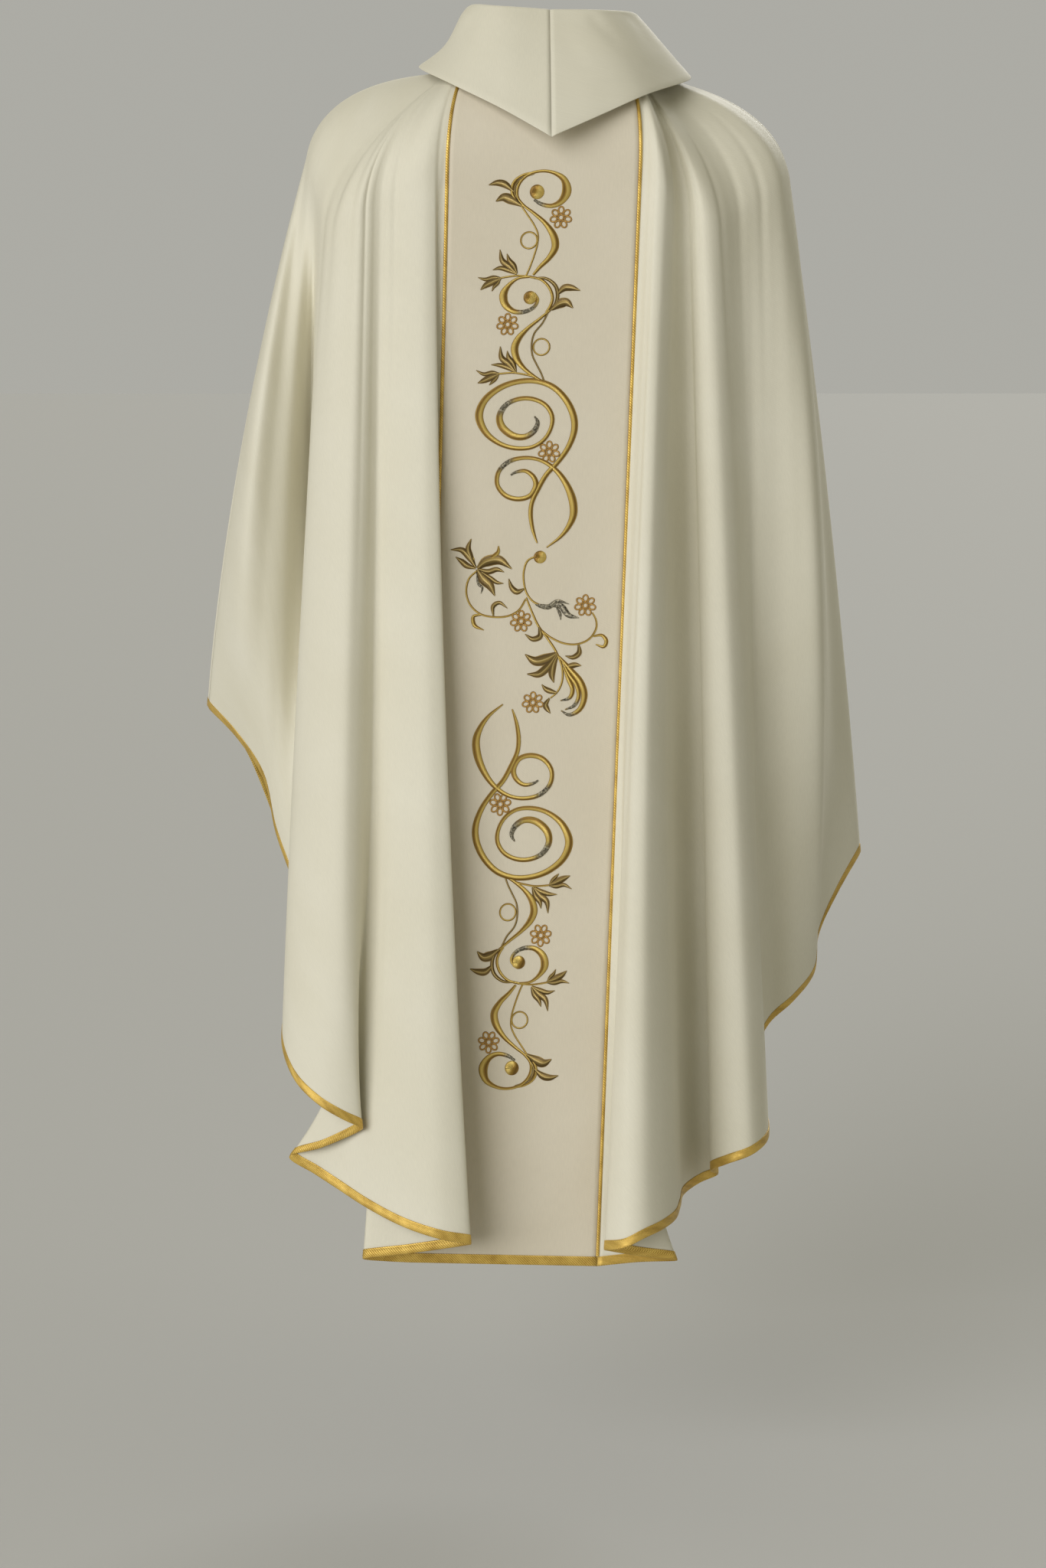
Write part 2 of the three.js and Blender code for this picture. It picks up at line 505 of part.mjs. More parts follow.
// A stitched ribbon as a flat bar in the layout plane: X across, -Y down, Z out of the cloth. A long
// ribbon keeps every second point.
const LONG_RIBBON = 12;
function ribbonBar(allPoints) {
  const points = allPoints.filter((_, i) =>
    allPoints.length <= LONG_RIBBON || i % 2 === 0 || i === allPoints.length - 1);
  const last = points.length - 1;
  const stations = points.map(([a, d, width], i) => {
    const [a0, d0] = points[Math.max(i - 1, 0)];
    const [a1, d1] = points[Math.min(i + 1, last)];
    const along = new THREE.Vector3(a1 - a0, d0 - d1, 0).normalize();
    const side = new THREE.Vector3(-along.y, along.x, 0).multiplyScalar(width / 2);
    return { at: new THREE.Vector3(a, -d, 0), out: side, up: new THREE.Vector3(0, 0, STITCH_HEIGHT) };
  });
  return sweep(stations, [[1, 0], [1, 1], [-1, 1], [-1, 0]], false);
}
const DOT_SIDES = 10;
const disc = (a, d, radius, sides) =>
  new THREE.CylinderGeometry(radius, radius, STITCH_HEIGHT, sides)
    .rotateX(Math.PI / 2).translate(a, -d, STITCH_HEIGHT / 2);
const RING_STITCH = 1.6;
function ring(a, d, radius) {
  const shape = new THREE.Shape().absarc(0, 0, radius, 0, 2 * Math.PI);
  shape.holes.push(new THREE.Path().absarc(0, 0, radius - RING_STITCH, 0, 2 * Math.PI));
  return new THREE.ExtrudeGeometry(shape, { depth: STITCH_HEIGHT, bevelEnabled: false, curveSegments: 6 })
    .translate(a, -d, 0);
}
function motifSolid({ ribbons, dots, rings }) {
  const pieces = [
    ...ribbons.map(ribbonBar),
    ...dots.map(([a, d, radius]) => disc(a, d, radius, DOT_SIDES)),
    ...rings.map(([a, d, radius]) => ring(a, d, radius)),
  ].map(manifoldOf);
  return geometryOf(pieces.reduce((whole, piece) => whole.add(piece)));
}
const PETALS = 7;
const PETAL_NOTCH = 0.72;     // radius between two petals, as a part of the flower's
function flowerSolid([a, d]) {
  const shape = new THREE.Shape();
  for (let i = 0; i < PETALS * 2; i += 1) {
    const angle = (Math.PI * i) / PETALS;
    const reach = FLOWER_RADIUS * (i % 2 ? PETAL_NOTCH : 1);
    const [x, y] = [a + reach * Math.cos(angle), reach * Math.sin(angle) - d];
    if (i) shape.lineTo(x, y); else shape.moveTo(x, y);
  }
  shape.closePath();
  return new THREE.ExtrudeGeometry(shape, { depth: STITCH_HEIGHT, bevelEnabled: false });
}

// The flat stretch of an orphrey as a placing: X across, -Y down, Z out of the cloth, with its
// origin a little above the shoulder points.
function orphreyPlace(seamA, seamB, above) {
  const top = seamA.fall.getPoint(0).lerp(seamB.fall.getPoint(0), 0.5);
  const bottom = seamA.fall.getPoint(1).lerp(seamB.fall.getPoint(1), 0.5);
  const up = top.clone().sub(bottom).normalize();
  const out = seamB.fall.getPoint(0).sub(seamA.fall.getPoint(0)).cross(up).normalize();
  const across = up.clone().cross(out);
  top.addScaledVector(out, CLOTH / 2 + GAP).addScaledVector(up, above);
  return new THREE.Matrix4().makeBasis(across, up, out).setPosition(top);
}
const BACK_START = 15;        // the layout's zero is this far above the back's shoulder points
const FRONT_START = 10;
for (const [side, seams, start] of [
  ['back', [backPipings[1], backPipings[0]], BACK_START],
  ['front', [frontPipings[1], frontPipings[0]], FRONT_START]]) {
  const place = orphreyPlace(...seams, start);
  const prefix = side === 'back' ? '' : 'front_';
  for (const [name, motif] of [['upper_scroll', upperScroll], ['vine', vine], ['lower_scroll', lowerScroll]]) {
    add(`${prefix}${name}_embroidery`, motifSolid(motif).applyMatrix4(place), goldThread());
    motif.flowers.forEach((flower, i) => {
      add(`${prefix}${name}_flower_${i + 1}`, flowerSolid(flower).applyMatrix4(place), goldThread());
    });
  }
  const backing = new THREE.BoxGeometry(BACKING_WIDTH, BACKING_LENGTH, BACKING_PLY)
    .translate(0, -start - BACKING_LENGTH / 2, -(CLOTH + 3 * GAP + BACKING_PLY / 2))
    .applyMatrix4(place);
  add(`${side}_embroidery_backing`, backing, stiffener());
}

export default chasuble;
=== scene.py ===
import math

import bpy
import numpy as np
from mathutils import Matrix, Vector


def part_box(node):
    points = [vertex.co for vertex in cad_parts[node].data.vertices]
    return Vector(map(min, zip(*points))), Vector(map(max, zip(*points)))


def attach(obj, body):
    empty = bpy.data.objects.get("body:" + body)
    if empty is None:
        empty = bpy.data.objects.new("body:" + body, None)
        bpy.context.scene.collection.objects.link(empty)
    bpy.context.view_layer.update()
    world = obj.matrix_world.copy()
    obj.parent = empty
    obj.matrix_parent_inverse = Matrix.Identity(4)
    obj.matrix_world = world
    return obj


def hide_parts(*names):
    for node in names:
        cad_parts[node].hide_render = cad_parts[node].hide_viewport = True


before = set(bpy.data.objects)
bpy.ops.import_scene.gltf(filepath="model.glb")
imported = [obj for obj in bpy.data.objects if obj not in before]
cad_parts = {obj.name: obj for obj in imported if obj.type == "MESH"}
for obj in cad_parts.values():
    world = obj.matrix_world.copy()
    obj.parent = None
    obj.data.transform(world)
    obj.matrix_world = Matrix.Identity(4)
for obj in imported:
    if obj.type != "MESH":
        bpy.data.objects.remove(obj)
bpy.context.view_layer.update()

# ---- Camera ----
# Behind the wearer at chest height, looking down a little at the whole back of the garment.
camera_data = bpy.data.cameras.new("camera")
camera_data.sensor_width = 36
camera_data.lens = 75.3
camera = bpy.data.objects.new("camera", camera_data)
camera.location = (-0.022, -3.45, -0.26)
camera.rotation_euler = (math.radians(81), 0, 0)
bpy.context.scene.collection.objects.link(camera)
bpy.context.scene.camera = camera

# ---- Body panels ----
# Two wide panels a side, back and front, cut from ivory gabardine and joined along the shoulder
# seam that runs out to the point of the wing. The seam is pressed flat, so the cloth dips along it.

# The cloth hangs from the neck seam and the shoulders. Each rib is a line down it from the neck
# seam, over a shoulder point, to the hem; the ribs follow its folds, creases and seams.
MM = 0.001
NECK_WIDTH, NECK_DEPTH = 0.090, 0.085     # half of the neck seam's oval
NECK_HEIGHT, NECK_RISE = -0.064, 0.012    # its height at the sides, and how much the back is higher
SHOULDER_ROUND = 0.083                    # the cloth starts to turn over this far above the shoulder
YOKE_ROWS, FALL_ROWS = 26, 84
FOLD_COLUMNS = 7                          # columns of faces between two ribs
FOLD_SPREAD = 3.5                         # ribs over which the cloth evens out at the shoulder


def unit(vectors):
    return vectors / np.maximum(np.linalg.norm(vectors, axis=-1, keepdims=True), 1e-12)


def rib_lean(shoulder, hem, bow=(0, 0)):
    """The direction up a rib at its shoulder point."""
    return unit(np.subtract(shoulder, hem) / 2 - [bow[0], bow[1], 0])


def rib_line(angle, shoulder, hem, bow=(0, 0), late=1, lean=None, trend=None):
    """Points down one rib. angle is round the neck from centre back, and bow moves its middle. The
    rib follows the trend of its neighbours and takes up its own fold the later, the larger late is."""
    turn = math.radians(angle)
    neck = np.array([-NECK_WIDTH * math.sin(turn), -NECK_DEPTH * math.cos(turn),
                     NECK_HEIGHT + NECK_RISE * math.cos(turn)])
    top, low = np.array(shoulder) * MM, np.array(hem) * MM
    trend = low if trend is None else trend
    over = top + (rib_lean(shoulder, hem, bow) if lean is None else unit(lean)) * SHOULDER_ROUND
    t = np.linspace(0, 1, YOKE_ROWS + 1)[:-1, None]
    yoke = (1 - t) ** 2 * neck + 2 * t * (1 - t) * over + t ** 2 * top
    t = np.linspace(0, 1, FALL_ROWS + 1)[:, None]
    fall = top + (trend - top) * t + 2 * t * (1 - t) * np.array([bow[0], bow[1], 0]) * MM
    fall = fall + (low - trend) * t ** late
    return np.vstack([yoke, fall])


def smooth_across(lines, count):
    """A smooth skin through the lines: count columns between each pair, evenly eased."""
    lines = np.array(lines)
    lines = np.concatenate([[2 * lines[0] - lines[1]], lines, [2 * lines[-1] - lines[-2]]])
    columns = []
    for a, b, c, d in zip(lines[:-3], lines[1:-2], lines[2:-1], lines[3:]):
        step = [np.sqrt(np.linalg.norm(q - p, axis=1, keepdims=True)) + 1e-6
                for p, q in ((a, b), (b, c), (c, d))]
        t0 = 0.0
        t1 = t0 + step[0]
        t2 = t1 + step[1]
        t3 = t2 + step[2]
        for k in range(count):
            t = t1 + (t2 - t1) * k / count
            ab = (t1 - t) / (t1 - t0) * a + (t - t0) / (t1 - t0) * b
            bc = (t2 - t) / (t2 - t1) * b + (t - t1) / (t2 - t1) * c
            cd = (t3 - t) / (t3 - t2) * c + (t - t2) / (t3 - t2) * d
            abc = (t2 - t) / (t2 - t0) * ab + (t - t0) / (t2 - t0) * bc
            bcd = (t3 - t) / (t3 - t1) * bc + (t - t1) / (t3 - t1) * cd
            columns.append((t2 - t) / (t2 - t1) * abc + (t - t1) / (t2 - t1) * bcd)
    return np.array(columns + [lines[-2]])


def skin_normals(grid):
    """Outward normals of a skin whose columns run to the wearer's left across the back."""
    normal = np.cross(np.gradient(grid, axis=0), np.gradient(grid, axis=1))
    return unit(normal)


# The left side, from the back piping to the front piping. Near the hem two folds lie back over
# themselves: one over the edge of the orphrey, the other beside the wing.
left_ribs = [
    (53.0, (-97, -152, -165), (-141, -166, -1282), (9, 0)),    # back left piping
    (53.7, (-100, -152, -166), (-166, -168, -1280)),
    (54.3, (-103, -153, -167), (-187, -177, -1275)),           # inner crease of the first fold
    (54.9, (-106, -154, -168), (-140, -194, -1264)),
    (55.5, (-109, -156, -169), (-80, -214, -1249), (-13, 0)),
    (56.2, (-112, -157, -170), (-76, -224, -1245), (-13, 0)),  # its outer crease, over the orphrey
    (57.8, (-119, -158, -174), (-104, -231, -1238), (-10, 0)),
    (60.3, (-131, -156, -181), (-143, -217, -1229)),
    (62.5, (-144, -151, -190), (-182, -192, -1216), (0, 0), 6, (-160, -202)),
    (64.0, (-153, -148, -194), (-213, -168, -1203), (0, 0), 9, (-168, -190)),
    (65.0, (-159, -146, -197), (-238, -156, -1190), (0, 0), 9, (-175, -177)),
    (66.0, (-164, -145, -200), (-264, -151, -1174), (0, 0), 9, (-181, -171)),  # inner crease
    (67.0, (-169, -146, -202), (-230, -168, -1159), (0, 0), 9, (-187, -179)),
    (68.0, (-173, -148, -204), (-190, -184, -1137), (0, 0), 9, (-194, -193)),
    (69.0, (-178, -149, -206), (-187, -194, -1131), (0, 0), 9, (-201, -203)),  # outer crease
    (70.2, (-184, -150, -210), (-205, -199, -1121), (0, 0), 6, (-213, -209)),
    (71.8, (-191, -146, -216), (-230, -194, -1107), (0, 0), 4, (-232, -203)),
    (73.5, (-205, -137, -224), (-256, -173, -1086), (-4, 0)),
    (76.0, (-217, -120, -236), (-271, -140, -1055), (-8, 0)),           # where it turns in beside the wing
    (78.0, (-223, -100, -225), (-266, -100, -1028), (-10, 0)),
    (80.0, (-228, -80, -208), (-252, -52, -992), (-10, 24)),
    (82.0, (-232, -64, -193), (-250, -8, -955), (-10, 52)),      # valley under the arm
    (84.5, (-236, -50, -179), (-272, 34, -912), (-4, -34)),
    (87.0, (-241, -32, -166), (-289, 50, -868), (-4, -118)),
    (88.5, (-244, -11, -156), (-301, 38, -806), (-18, -150)),
    (89.5, (-246, 4, -152), (-330, 52, -764), (-22, -196)),
    (90.0, (-246, 15, -150), (-365, 90, -735), (-20, -104)),   # shoulder seam, to the wing's point
    (95.0, (-245, 32, -150), (-360, 118, -740), (-16, 12)),
    (100., (-235, 58, -158), (-330, 150, -790), (-4, 20)),
    (106., (-218, 84, -172), (-300, 172, -872), (0, 30)),
    (112., (-198, 106, -190), (-286, 214, -925), (0, 40)),
    (117., (-178, 120, -205), (-240, 226, -965), (0, 52)),
    (122., (-158, 130, -218), (-222, 262, -1025), (0, 52)),    # lifted over the forearm
    (127., (-140, 138, -228), (-180, 240, -1085), (0, 48)),
    (131., (-124, 146, -234), (-158, 268, -1130), (0, 48)),
    (134., (-110, 149, -238), (-122, 244, -1175), (0, 22)),
    (137., (-95, 150, -240), (-95, 244, -1220)),               # front left piping
]
LEFT_SEAM = 26

# The right side, from the back piping to the front piping, with two rounder folds.
right_ribs = [
    (-57.0, (94, -152, -165), (55, -166, -1286)),              # back right piping
    (-57.5, (97, -152, -166), (98, -168, -1281), (0, 0), 6, (57, -172)),
    (-58.0, (100, -153, -168), (137, -176, -1277), (0, 0), 6, (59, -180)),  # inner crease, first fold
    (-58.5, (102, -155, -170), (98, -196, -1266), (0, 0), 6, (61, -190)),
    (-59.0, (104, -158, -172), (64, -206, -1257), (0, 0), 6, (63, -200)),
    (-59.8, (107, -161, -174), (62, -214, -1254), (0, 0), 6, (66, -210)),   # outer crease, by the piping
    (-61.2, (111, -164, -178), (81, -234, -1246), (-8, 0), 3, (76, -226)),
    (-63.2, (117, -164, -187), (100, -234, -1236), (-12, 0), 2, (94, -232)),
    (-65.0, (122, -160, -200), (119, -217, -1232), (-18, 0)),
    (-66.5, (127, -152, -208), (134, -188, -1230), (-20, 0)),
    (-67.5, (129, -144, -212), (141, -146, -1230), (-18, 0)),
    (-68.5, (133, -137, -214), (148, -96, -1229), (-8, 0)),
    (-69.5, (138, -134, -215), (166, -70, -1224)),
    (-70.5, (143, -135, -216), (184, -76, -1214)),             # inner crease of the second fold
    (-71.5, (147, -140, -217), (176, -102, -1202)),
    (-73.0, (153, -147, -220), (192, -128, -1187)),
    (-75.0, (163, -148, -226), (214, -134, -1177)),
    (-77.0, (173, -142, -228), (231, -112, -1171)),
    (-78.5, (181, -131, -225), (238, -76, -1167)),
    (-80.0, (191, -118, -217), (236, -34, -1158), (0, -26)),
    (-81.5, (203, -110, -208), (230, 8, -1138), (0, -56)),     # valley under the arm
    (-83.0, (215, -103, -200), (232, 34, -1105), (4, -88)),
    (-84.5, (227, -95, -193), (246, 42, -1077), (8, -104)),
    (-86.0, (238, -84, -186), (272, 42, -1052), (16, -118)),   # ridge down the edge of the wing
    (-87.5, (246, -62, -182), (296, 64, -1026), (22, -156)),
    (-88.5, (251, -38, -178), (302, 88, -990), (26, -168)),
    (-89.4, (253, 2, -175), (322, 86, -942), (18, -70)),
    (-90.0, (254, 15, -172), (351, 120, -901), (10, -20)),     # shoulder seam, to the wing's point
    (-95.0, (253, 34, -170), (346, 140, -915), (5, 10)),
    (-100., (240, 60, -174), (322, 166, -950), (4, 22)),
    (-106., (222, 86, -182), (290, 180, -985), (2, 32)),
    (-112., (201, 107, -196), (274, 212, -1020), (0, 42)),
    (-117., (180, 121, -208), (238, 228, -1048), (0, 52)),
    (-122., (159, 131, -219), (216, 262, -1085), (0, 52)),     # lifted over the forearm
    (-127., (140, 139, -229), (178, 242, -1120), (0, 48)),
    (-131., (124, 146, -235), (152, 270, -1150), (0, 46)),
    (-134., (110, 149, -238), (122, 246, -1186), (0, 22)),
    (-137., (95, 150, -240), (95, 244, -1222)),                # front right piping
]
RIGHT_SEAM = 27


def new_material(name, roughness, metallic=0.0):
    """A material, its shader and the piece's own UVs, which run along the cloth in metres."""
    material = bpy.data.materials.new(name)
    material.use_nodes = True
    shader = material.node_tree.nodes["Principled BSDF"]
    shader.inputs["Roughness"].default_value = roughness
    shader.inputs["Metallic"].default_value = metallic
    place = material.node_tree.nodes.new("ShaderNodeUVMap")
    place.uv_map = "cloth"
    return material, shader, place.outputs["UV"]


def add_node(tree, kind, feeds, **settings):
    """Adds a node; feeds gives its inputs by name, each a value or another node's output."""
    node = tree.nodes.new("ShaderNode" + kind)
    for field, value in settings.items():
        setattr(node, field, value)
    for socket, value in feeds.items():
        if isinstance(value, bpy.types.NodeSocket):
            tree.links.new(value, node.inputs[socket])
        else:
            node.inputs[socket].default_value = value
    return node


def ramp(tree, stops, source):
    """A colour ramp through stops of (position, colour)."""
    node = add_node(tree, "ValToRGB", {"Fac": source})
    elements = node.color_ramp.elements
    elements[0].position, elements[0].color = stops[0][0], (*stops[0][1], 1)
    elements[1].position, elements[1].color = stops[-1][0], (*stops[-1][1], 1)
    for position, colour in stops[1:-1]:
        elements.new(position).color = (*colour, 1)
    return node.outputs["Color"]


def scaled_sum(tree, value, scale, other):
    """value times scale, plus other."""
    return add_node(tree, "Math", {0: value, 1: scale, 2: other}, operation="MULTIPLY_ADD").outputs["Value"]


def bump(tree, height, strength, distance, over=None):
    """A raised pattern, laid over another one's normal where that is given."""
    feeds = {"Strength": strength, "Distance": distance, "Height": height}
    if over is not None:
        feeds["Normal"] = over
    return add_node(tree, "Bump", feeds).outputs["Normal"]


def ivory_cloth(name, deep, light):
    """A smooth gabardine of fine matt yarn: a close diagonal twill, a soft sheen at glancing
    angles and slight unevenness from wear and pressing."""
    material, shader, uv = new_material(name, 0.62)
    tree = material.node_tree
    shader.inputs["Sheen Weight"].default_value = 0.22
    shader.inputs["Sheen Roughness"].default_value = 0.45
    shader.inputs["Sheen Tint"].default_value = (1.0, 0.96, 0.86, 1)
    shader.inputs["Specular IOR Level"].default_value = 0.28

    def noise(scale, detail, stretch=(1, 1, 1)):
        mapping = add_node(tree, "Mapping", {"Vector": uv, "Scale": stretch})
        feeds = {"Vector": mapping.outputs["Vector"], "Scale": scale, "Detail": detail}
        return add_node(tree, "TexNoise", feeds).outputs["Fac"]

    slub = noise(900, 2, (1, 0.12, 1))
    tone = ramp(tree, [(0.3, deep), (0.7, light)], noise(7, 3))
    yarn = add_node(tree, "Mix", {"Factor": 0.10, "A": tone, "B": slub},
                    data_type="RGBA", blend_type="MULTIPLY")
    tree.links.new(yarn.outputs["Result"], shader.inputs["Base Color"])
    twill = add_node(tree, "TexWave", {"Vector": uv, "Scale": 260, "Distortion": 0.6},
                     bands_direction="DIAGONAL")
    weave = scaled_sum(tree, slub, 0.5, twill.outputs["Fac"])
    pressed = bump(tree, noise(22, 2, (1, 0.3, 1)), 0.25, 0.002, over=bump(tree, weave, 0.12, 0.0002))
    tree.links.new(pressed, shader.inputs["Normal"])
    return material


ivory = ivory_cloth("ivory_cloth", (0.752, 0.718, 0.580), (0.788, 0.758, 0.630))


def set_uvs(mesh, flat):
    """Gives the mesh its UVs: the place of each of its points on the flat cloth, in metres."""
    order = np.array([loop.vertex_index for loop in mesh.loops])
    mesh.uv_layers.new(name="cloth").data.foreach_set("uv", flat[order].ravel())


def grid_mesh(name, grid, flat, closed=False):
    """A skin over a grid of points; closed joins its last row of points to its first."""
    index = np.arange(grid.shape[0] * grid.shape[1]).reshape(grid.shape[:2])
    if closed:
        index = np.hstack([index, index[:, :1]])
    corners = np.stack([index[:-1, :-1], index[1:, :-1], index[1:, 1:], index[:-1, 1:]], axis=-1)
    mesh = bpy.data.meshes.new(name)
    mesh.from_pydata(grid.reshape(-1, 3).tolist(), [], corners.reshape(-1, 4).tolist())
    set_uvs(mesh, flat.reshape(-1, 2))
    return mesh


def cloth_mesh(name, grid, thickness, material, replaced):
    """A woven piece from a grid of points, with its thread directions kept in metres as UVs."""
    columns, rows = grid.shape[:2]
    across = np.linalg.norm(np.diff(grid, axis=0), axis=2).cumsum(axis=0)
    down = np.linalg.norm(np.diff(grid, axis=1), axis=2).cumsum(axis=1)
    u = np.vstack([np.zeros((1, rows)), across])
    v = np.hstack([np.zeros((columns, 1)), down])
    mesh = grid_mesh(name, grid, np.stack([u, v], axis=-1))
    mesh.materials.append(material)
    piece = bpy.data.objects.new(name, mesh)
    bpy.context.scene.collection.objects.link(piece)
    bpy.ops.object.select_all(action="DESELECT")
    bpy.context.view_layer.objects.active = piece
    piece.select_set(True)
    ply = piece.modifiers.new("ply", "SOLIDIFY")
    ply.thickness = thickness
    ply.offset = 0
    bpy.ops.object.modifier_apply(modifier="ply")
    bpy.ops.object.shade_smooth()
    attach(piece, "root")
    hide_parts(*replaced)
    return piece


PANEL_THICKNESS = 0.0010
SEAM_DIP, SEAM_DIP_WIDTH = 0.0009, 0.0045
PLEAT_COLUMNS = 2.4       # half the width of a drag pleat
END_REACH = 1.5           # ribs from each end over which a side keeps its own lean


def side_skin(ribs, mirrored):
    """One side's skin. Over the shoulder each rib leans as its neighbours do, so the folds that
    cross each other near the hem open out into smooth cloth at the top."""
    ribs = [rib + ((0, 0), 1, None)[len(rib) - 3:] for rib in ribs]
    lean = np.array([rib_lean(*rib[1:4]) for rib in ribs])
    hems = np.array([rib[2] for rib in ribs]) * MM
    place = np.arange(len(ribs))
    nearness = np.exp(-((place[:, None] - place[None]) / FOLD_SPREAD) ** 2)
    nearness /= nearness.sum(axis=1, keepdims=True)
    own = np.exp(-(np.minimum(place, len(ribs) - 1 - place) / END_REACH) ** 2)[:, None]
    lean = lean * own + nearness @ lean * (1 - own)
    trends = hems * own + nearness @ hems * (1 - own)
    for rib, trend in zip(ribs, trends):
        if rib[5]:
            trend[:2] = np.array(rib[5]) * MM
    lines = [rib_line(*rib[:5], up, trend) for rib, up, trend in zip(ribs, lean, trends)]
    grid = smooth_across(lines, FOLD_COLUMNS)
    return grid[::-1] if mirrored else grid


def dip_at(grid, column, width, depth):
    """Presses a groove into the skin along one column."""
    line = grid[column]
    gap = np.linalg.norm(grid - line[None], axis=2)
    return grid - skin_normals(grid) * (depth * np.exp(-(gap / width) ** 2))[..., None]


def pleated(grid, pleats):
    """Fine drag pleats that start at the shoulder and fade on the way down. Each is (column, reach
    as a part of the fall, depth)."""
    columns, rows = np.arange(grid.shape[0])[:, None], np.arange(grid.shape[1])[None]
    down = (rows - YOKE_ROWS) / FALL_ROWS
    for column, reach, depth in pleats:
        groove = np.exp(-((columns - column) / PLEAT_COLUMNS) ** 2)
        fade = np.clip(1 - down / reach, 0, 1) ** 1.5 * np.clip((rows - 8) / 14, 0, 1)
        grid = grid - skin_normals(grid) * (depth * groove * fade)[..., None]
    return grid


left_cut = LEFT_SEAM * FOLD_COLUMNS
left_skin = dip_at(side_skin(left_ribs, False), left_cut, SEAM_DIP_WIDTH, SEAM_DIP)
left_skin = pleated(left_skin, [(98, 0.55, 0.0012), (114, 0.30, 0.0014), (124, 0.22, 0.0014),
                                (133, 0.34, 0.0014), (60, 0.30, 0.0010)])
right_cut = (len(right_ribs) - 1 - RIGHT_SEAM) * FOLD_COLUMNS
right_skin = dip_at(side_skin(right_ribs, True), right_cut, SEAM_DIP_WIDTH, SEAM_DIP)
right_last = (len(right_ribs) - 1) * FOLD_COLUMNS
right_skin = pleated(right_skin, [(right_last - 105, 0.34, 0.0014), (right_last - 122, 0.30, 0.0016),
                                  (right_last - 136, 0.26, 0.0014), (right_last - 149, 0.32, 0.0014)])

panels = {
    "back_left_panel": left_skin[:left_cut + 1],
    "front_left_panel": left_skin[left_cut:],
    "front_right_panel": right_skin[:right_cut + 1],
    "back_right_panel": right_skin[right_cut:],
}
for name, grid in panels.items():
    piece = cloth_mesh(name + "_cloth", grid, PANEL_THICKNESS, ivory, [name])
    side = name.split("_")[0]

# ---- Orphreys ----
# The straight centre panels, back and front, that carry the embroidery. Each is one width of the
# same gabardine, its colour darkened as painted shade, and hangs flat between the folds of the
# panels beside it.
ORPHREY_COLUMNS = 28
# the orphreys' gabardine is the panels' cloth with painted shade: its colour is made darker
orphrey_painted_shade_cloth = ivory_cloth("orphrey_cloth", (0.700, 0.635, 0.500), (0.735, 0.675, 0.545))    # painted shade: darker than the panels' cloth


def orphrey_skin(start, end, whole_turn):
    """The skin from rib start to rib end; whole_turn carries the angle on past 180 degrees."""
    bows = [rib[3] if len(rib) > 3 else (0, 0) for rib in (start, end)]
    lines = []
    for t in np.linspace(0, 1, ORPHREY_COLUMNS + 1):
        angle = start[0] + (end[0] + whole_turn - start[0]) * t
        shoulder, hem, bow = (np.array(a) * (1 - t) + np.array(b) * t
                              for a, b in ((start[1], end[1]), (start[2], end[2]), bows))
        lines.append(rib_line(angle, shoulder, hem, bow))
    return np.array(lines)


back_orphrey = orphrey_skin(right_ribs[0], left_ribs[0], 0)
front_orphrey = orphrey_skin(left_ribs[-1], right_ribs[-1], 360)
for name, grid, cut in (("back_orphrey", back_orphrey, (0.196, 1.29)),
                        ("front_orphrey", front_orphrey, (0.190, 1.19))):
    piece = cloth_mesh(name + "_cloth", grid, PANEL_THICKNESS, orphrey_painted_shade_cloth, [name])

# ---- Shoulder seams and neck tape ----
# Inside the garment the panels' seam allowances are felled down along each shoulder seam, and a
# straight tape covers the neck seam.
SEAM_REACH = 0.007        # allowance on each side of the seam
SEAM_PLY = 0.0009
TAPE_WIDTH, TAPE_PLY = 0.012, 0.0009
TAPE_INSET, TAPE_RISE = 0.007, 0.004      # how far the tape lies inside the neck seam, and above it


def allowance(skin, cut):
    line, inward = skin[cut], -skin_normals(skin)[cut]
    strips = [line + SEAM_REACH * unit(skin[cut + k] - line) for k in (-2, 2)]
    strip = np.array([strips[0], line, strips[1]]) + inward * (PANEL_THICKNESS + SEAM_PLY)
    return strip[:, 4:-1]


for side, skin, cut, length in (("left", left_skin, left_cut, 0.755),
                                ("right", right_skin, right_cut, 0.90)):
    piece = cloth_mesh(f"{side}_shoulder_allowance", allowance(skin, cut), SEAM_PLY, ivory,
                       [f"{side}_shoulder_seam"])

turns = np.linspace(0, 2 * math.pi, 97)
ring = np.stack([-(NECK_WIDTH - TAPE_INSET) * np.sin(turns), -(NECK_DEPTH - TAPE_INSET) * np.cos(turns),
                 NECK_HEIGHT + NECK_RISE * np.cos(turns) + TAPE_RISE], axis=-1)
tape = np.stack([ring, ring - [0, 0, TAPE_WIDTH / 2], ring - [0, 0, TAPE_WIDTH]], axis=1)
piece = cloth_mesh("neck_tape", tape, TAPE_PLY, ivory, ["neck_seam_tape"])


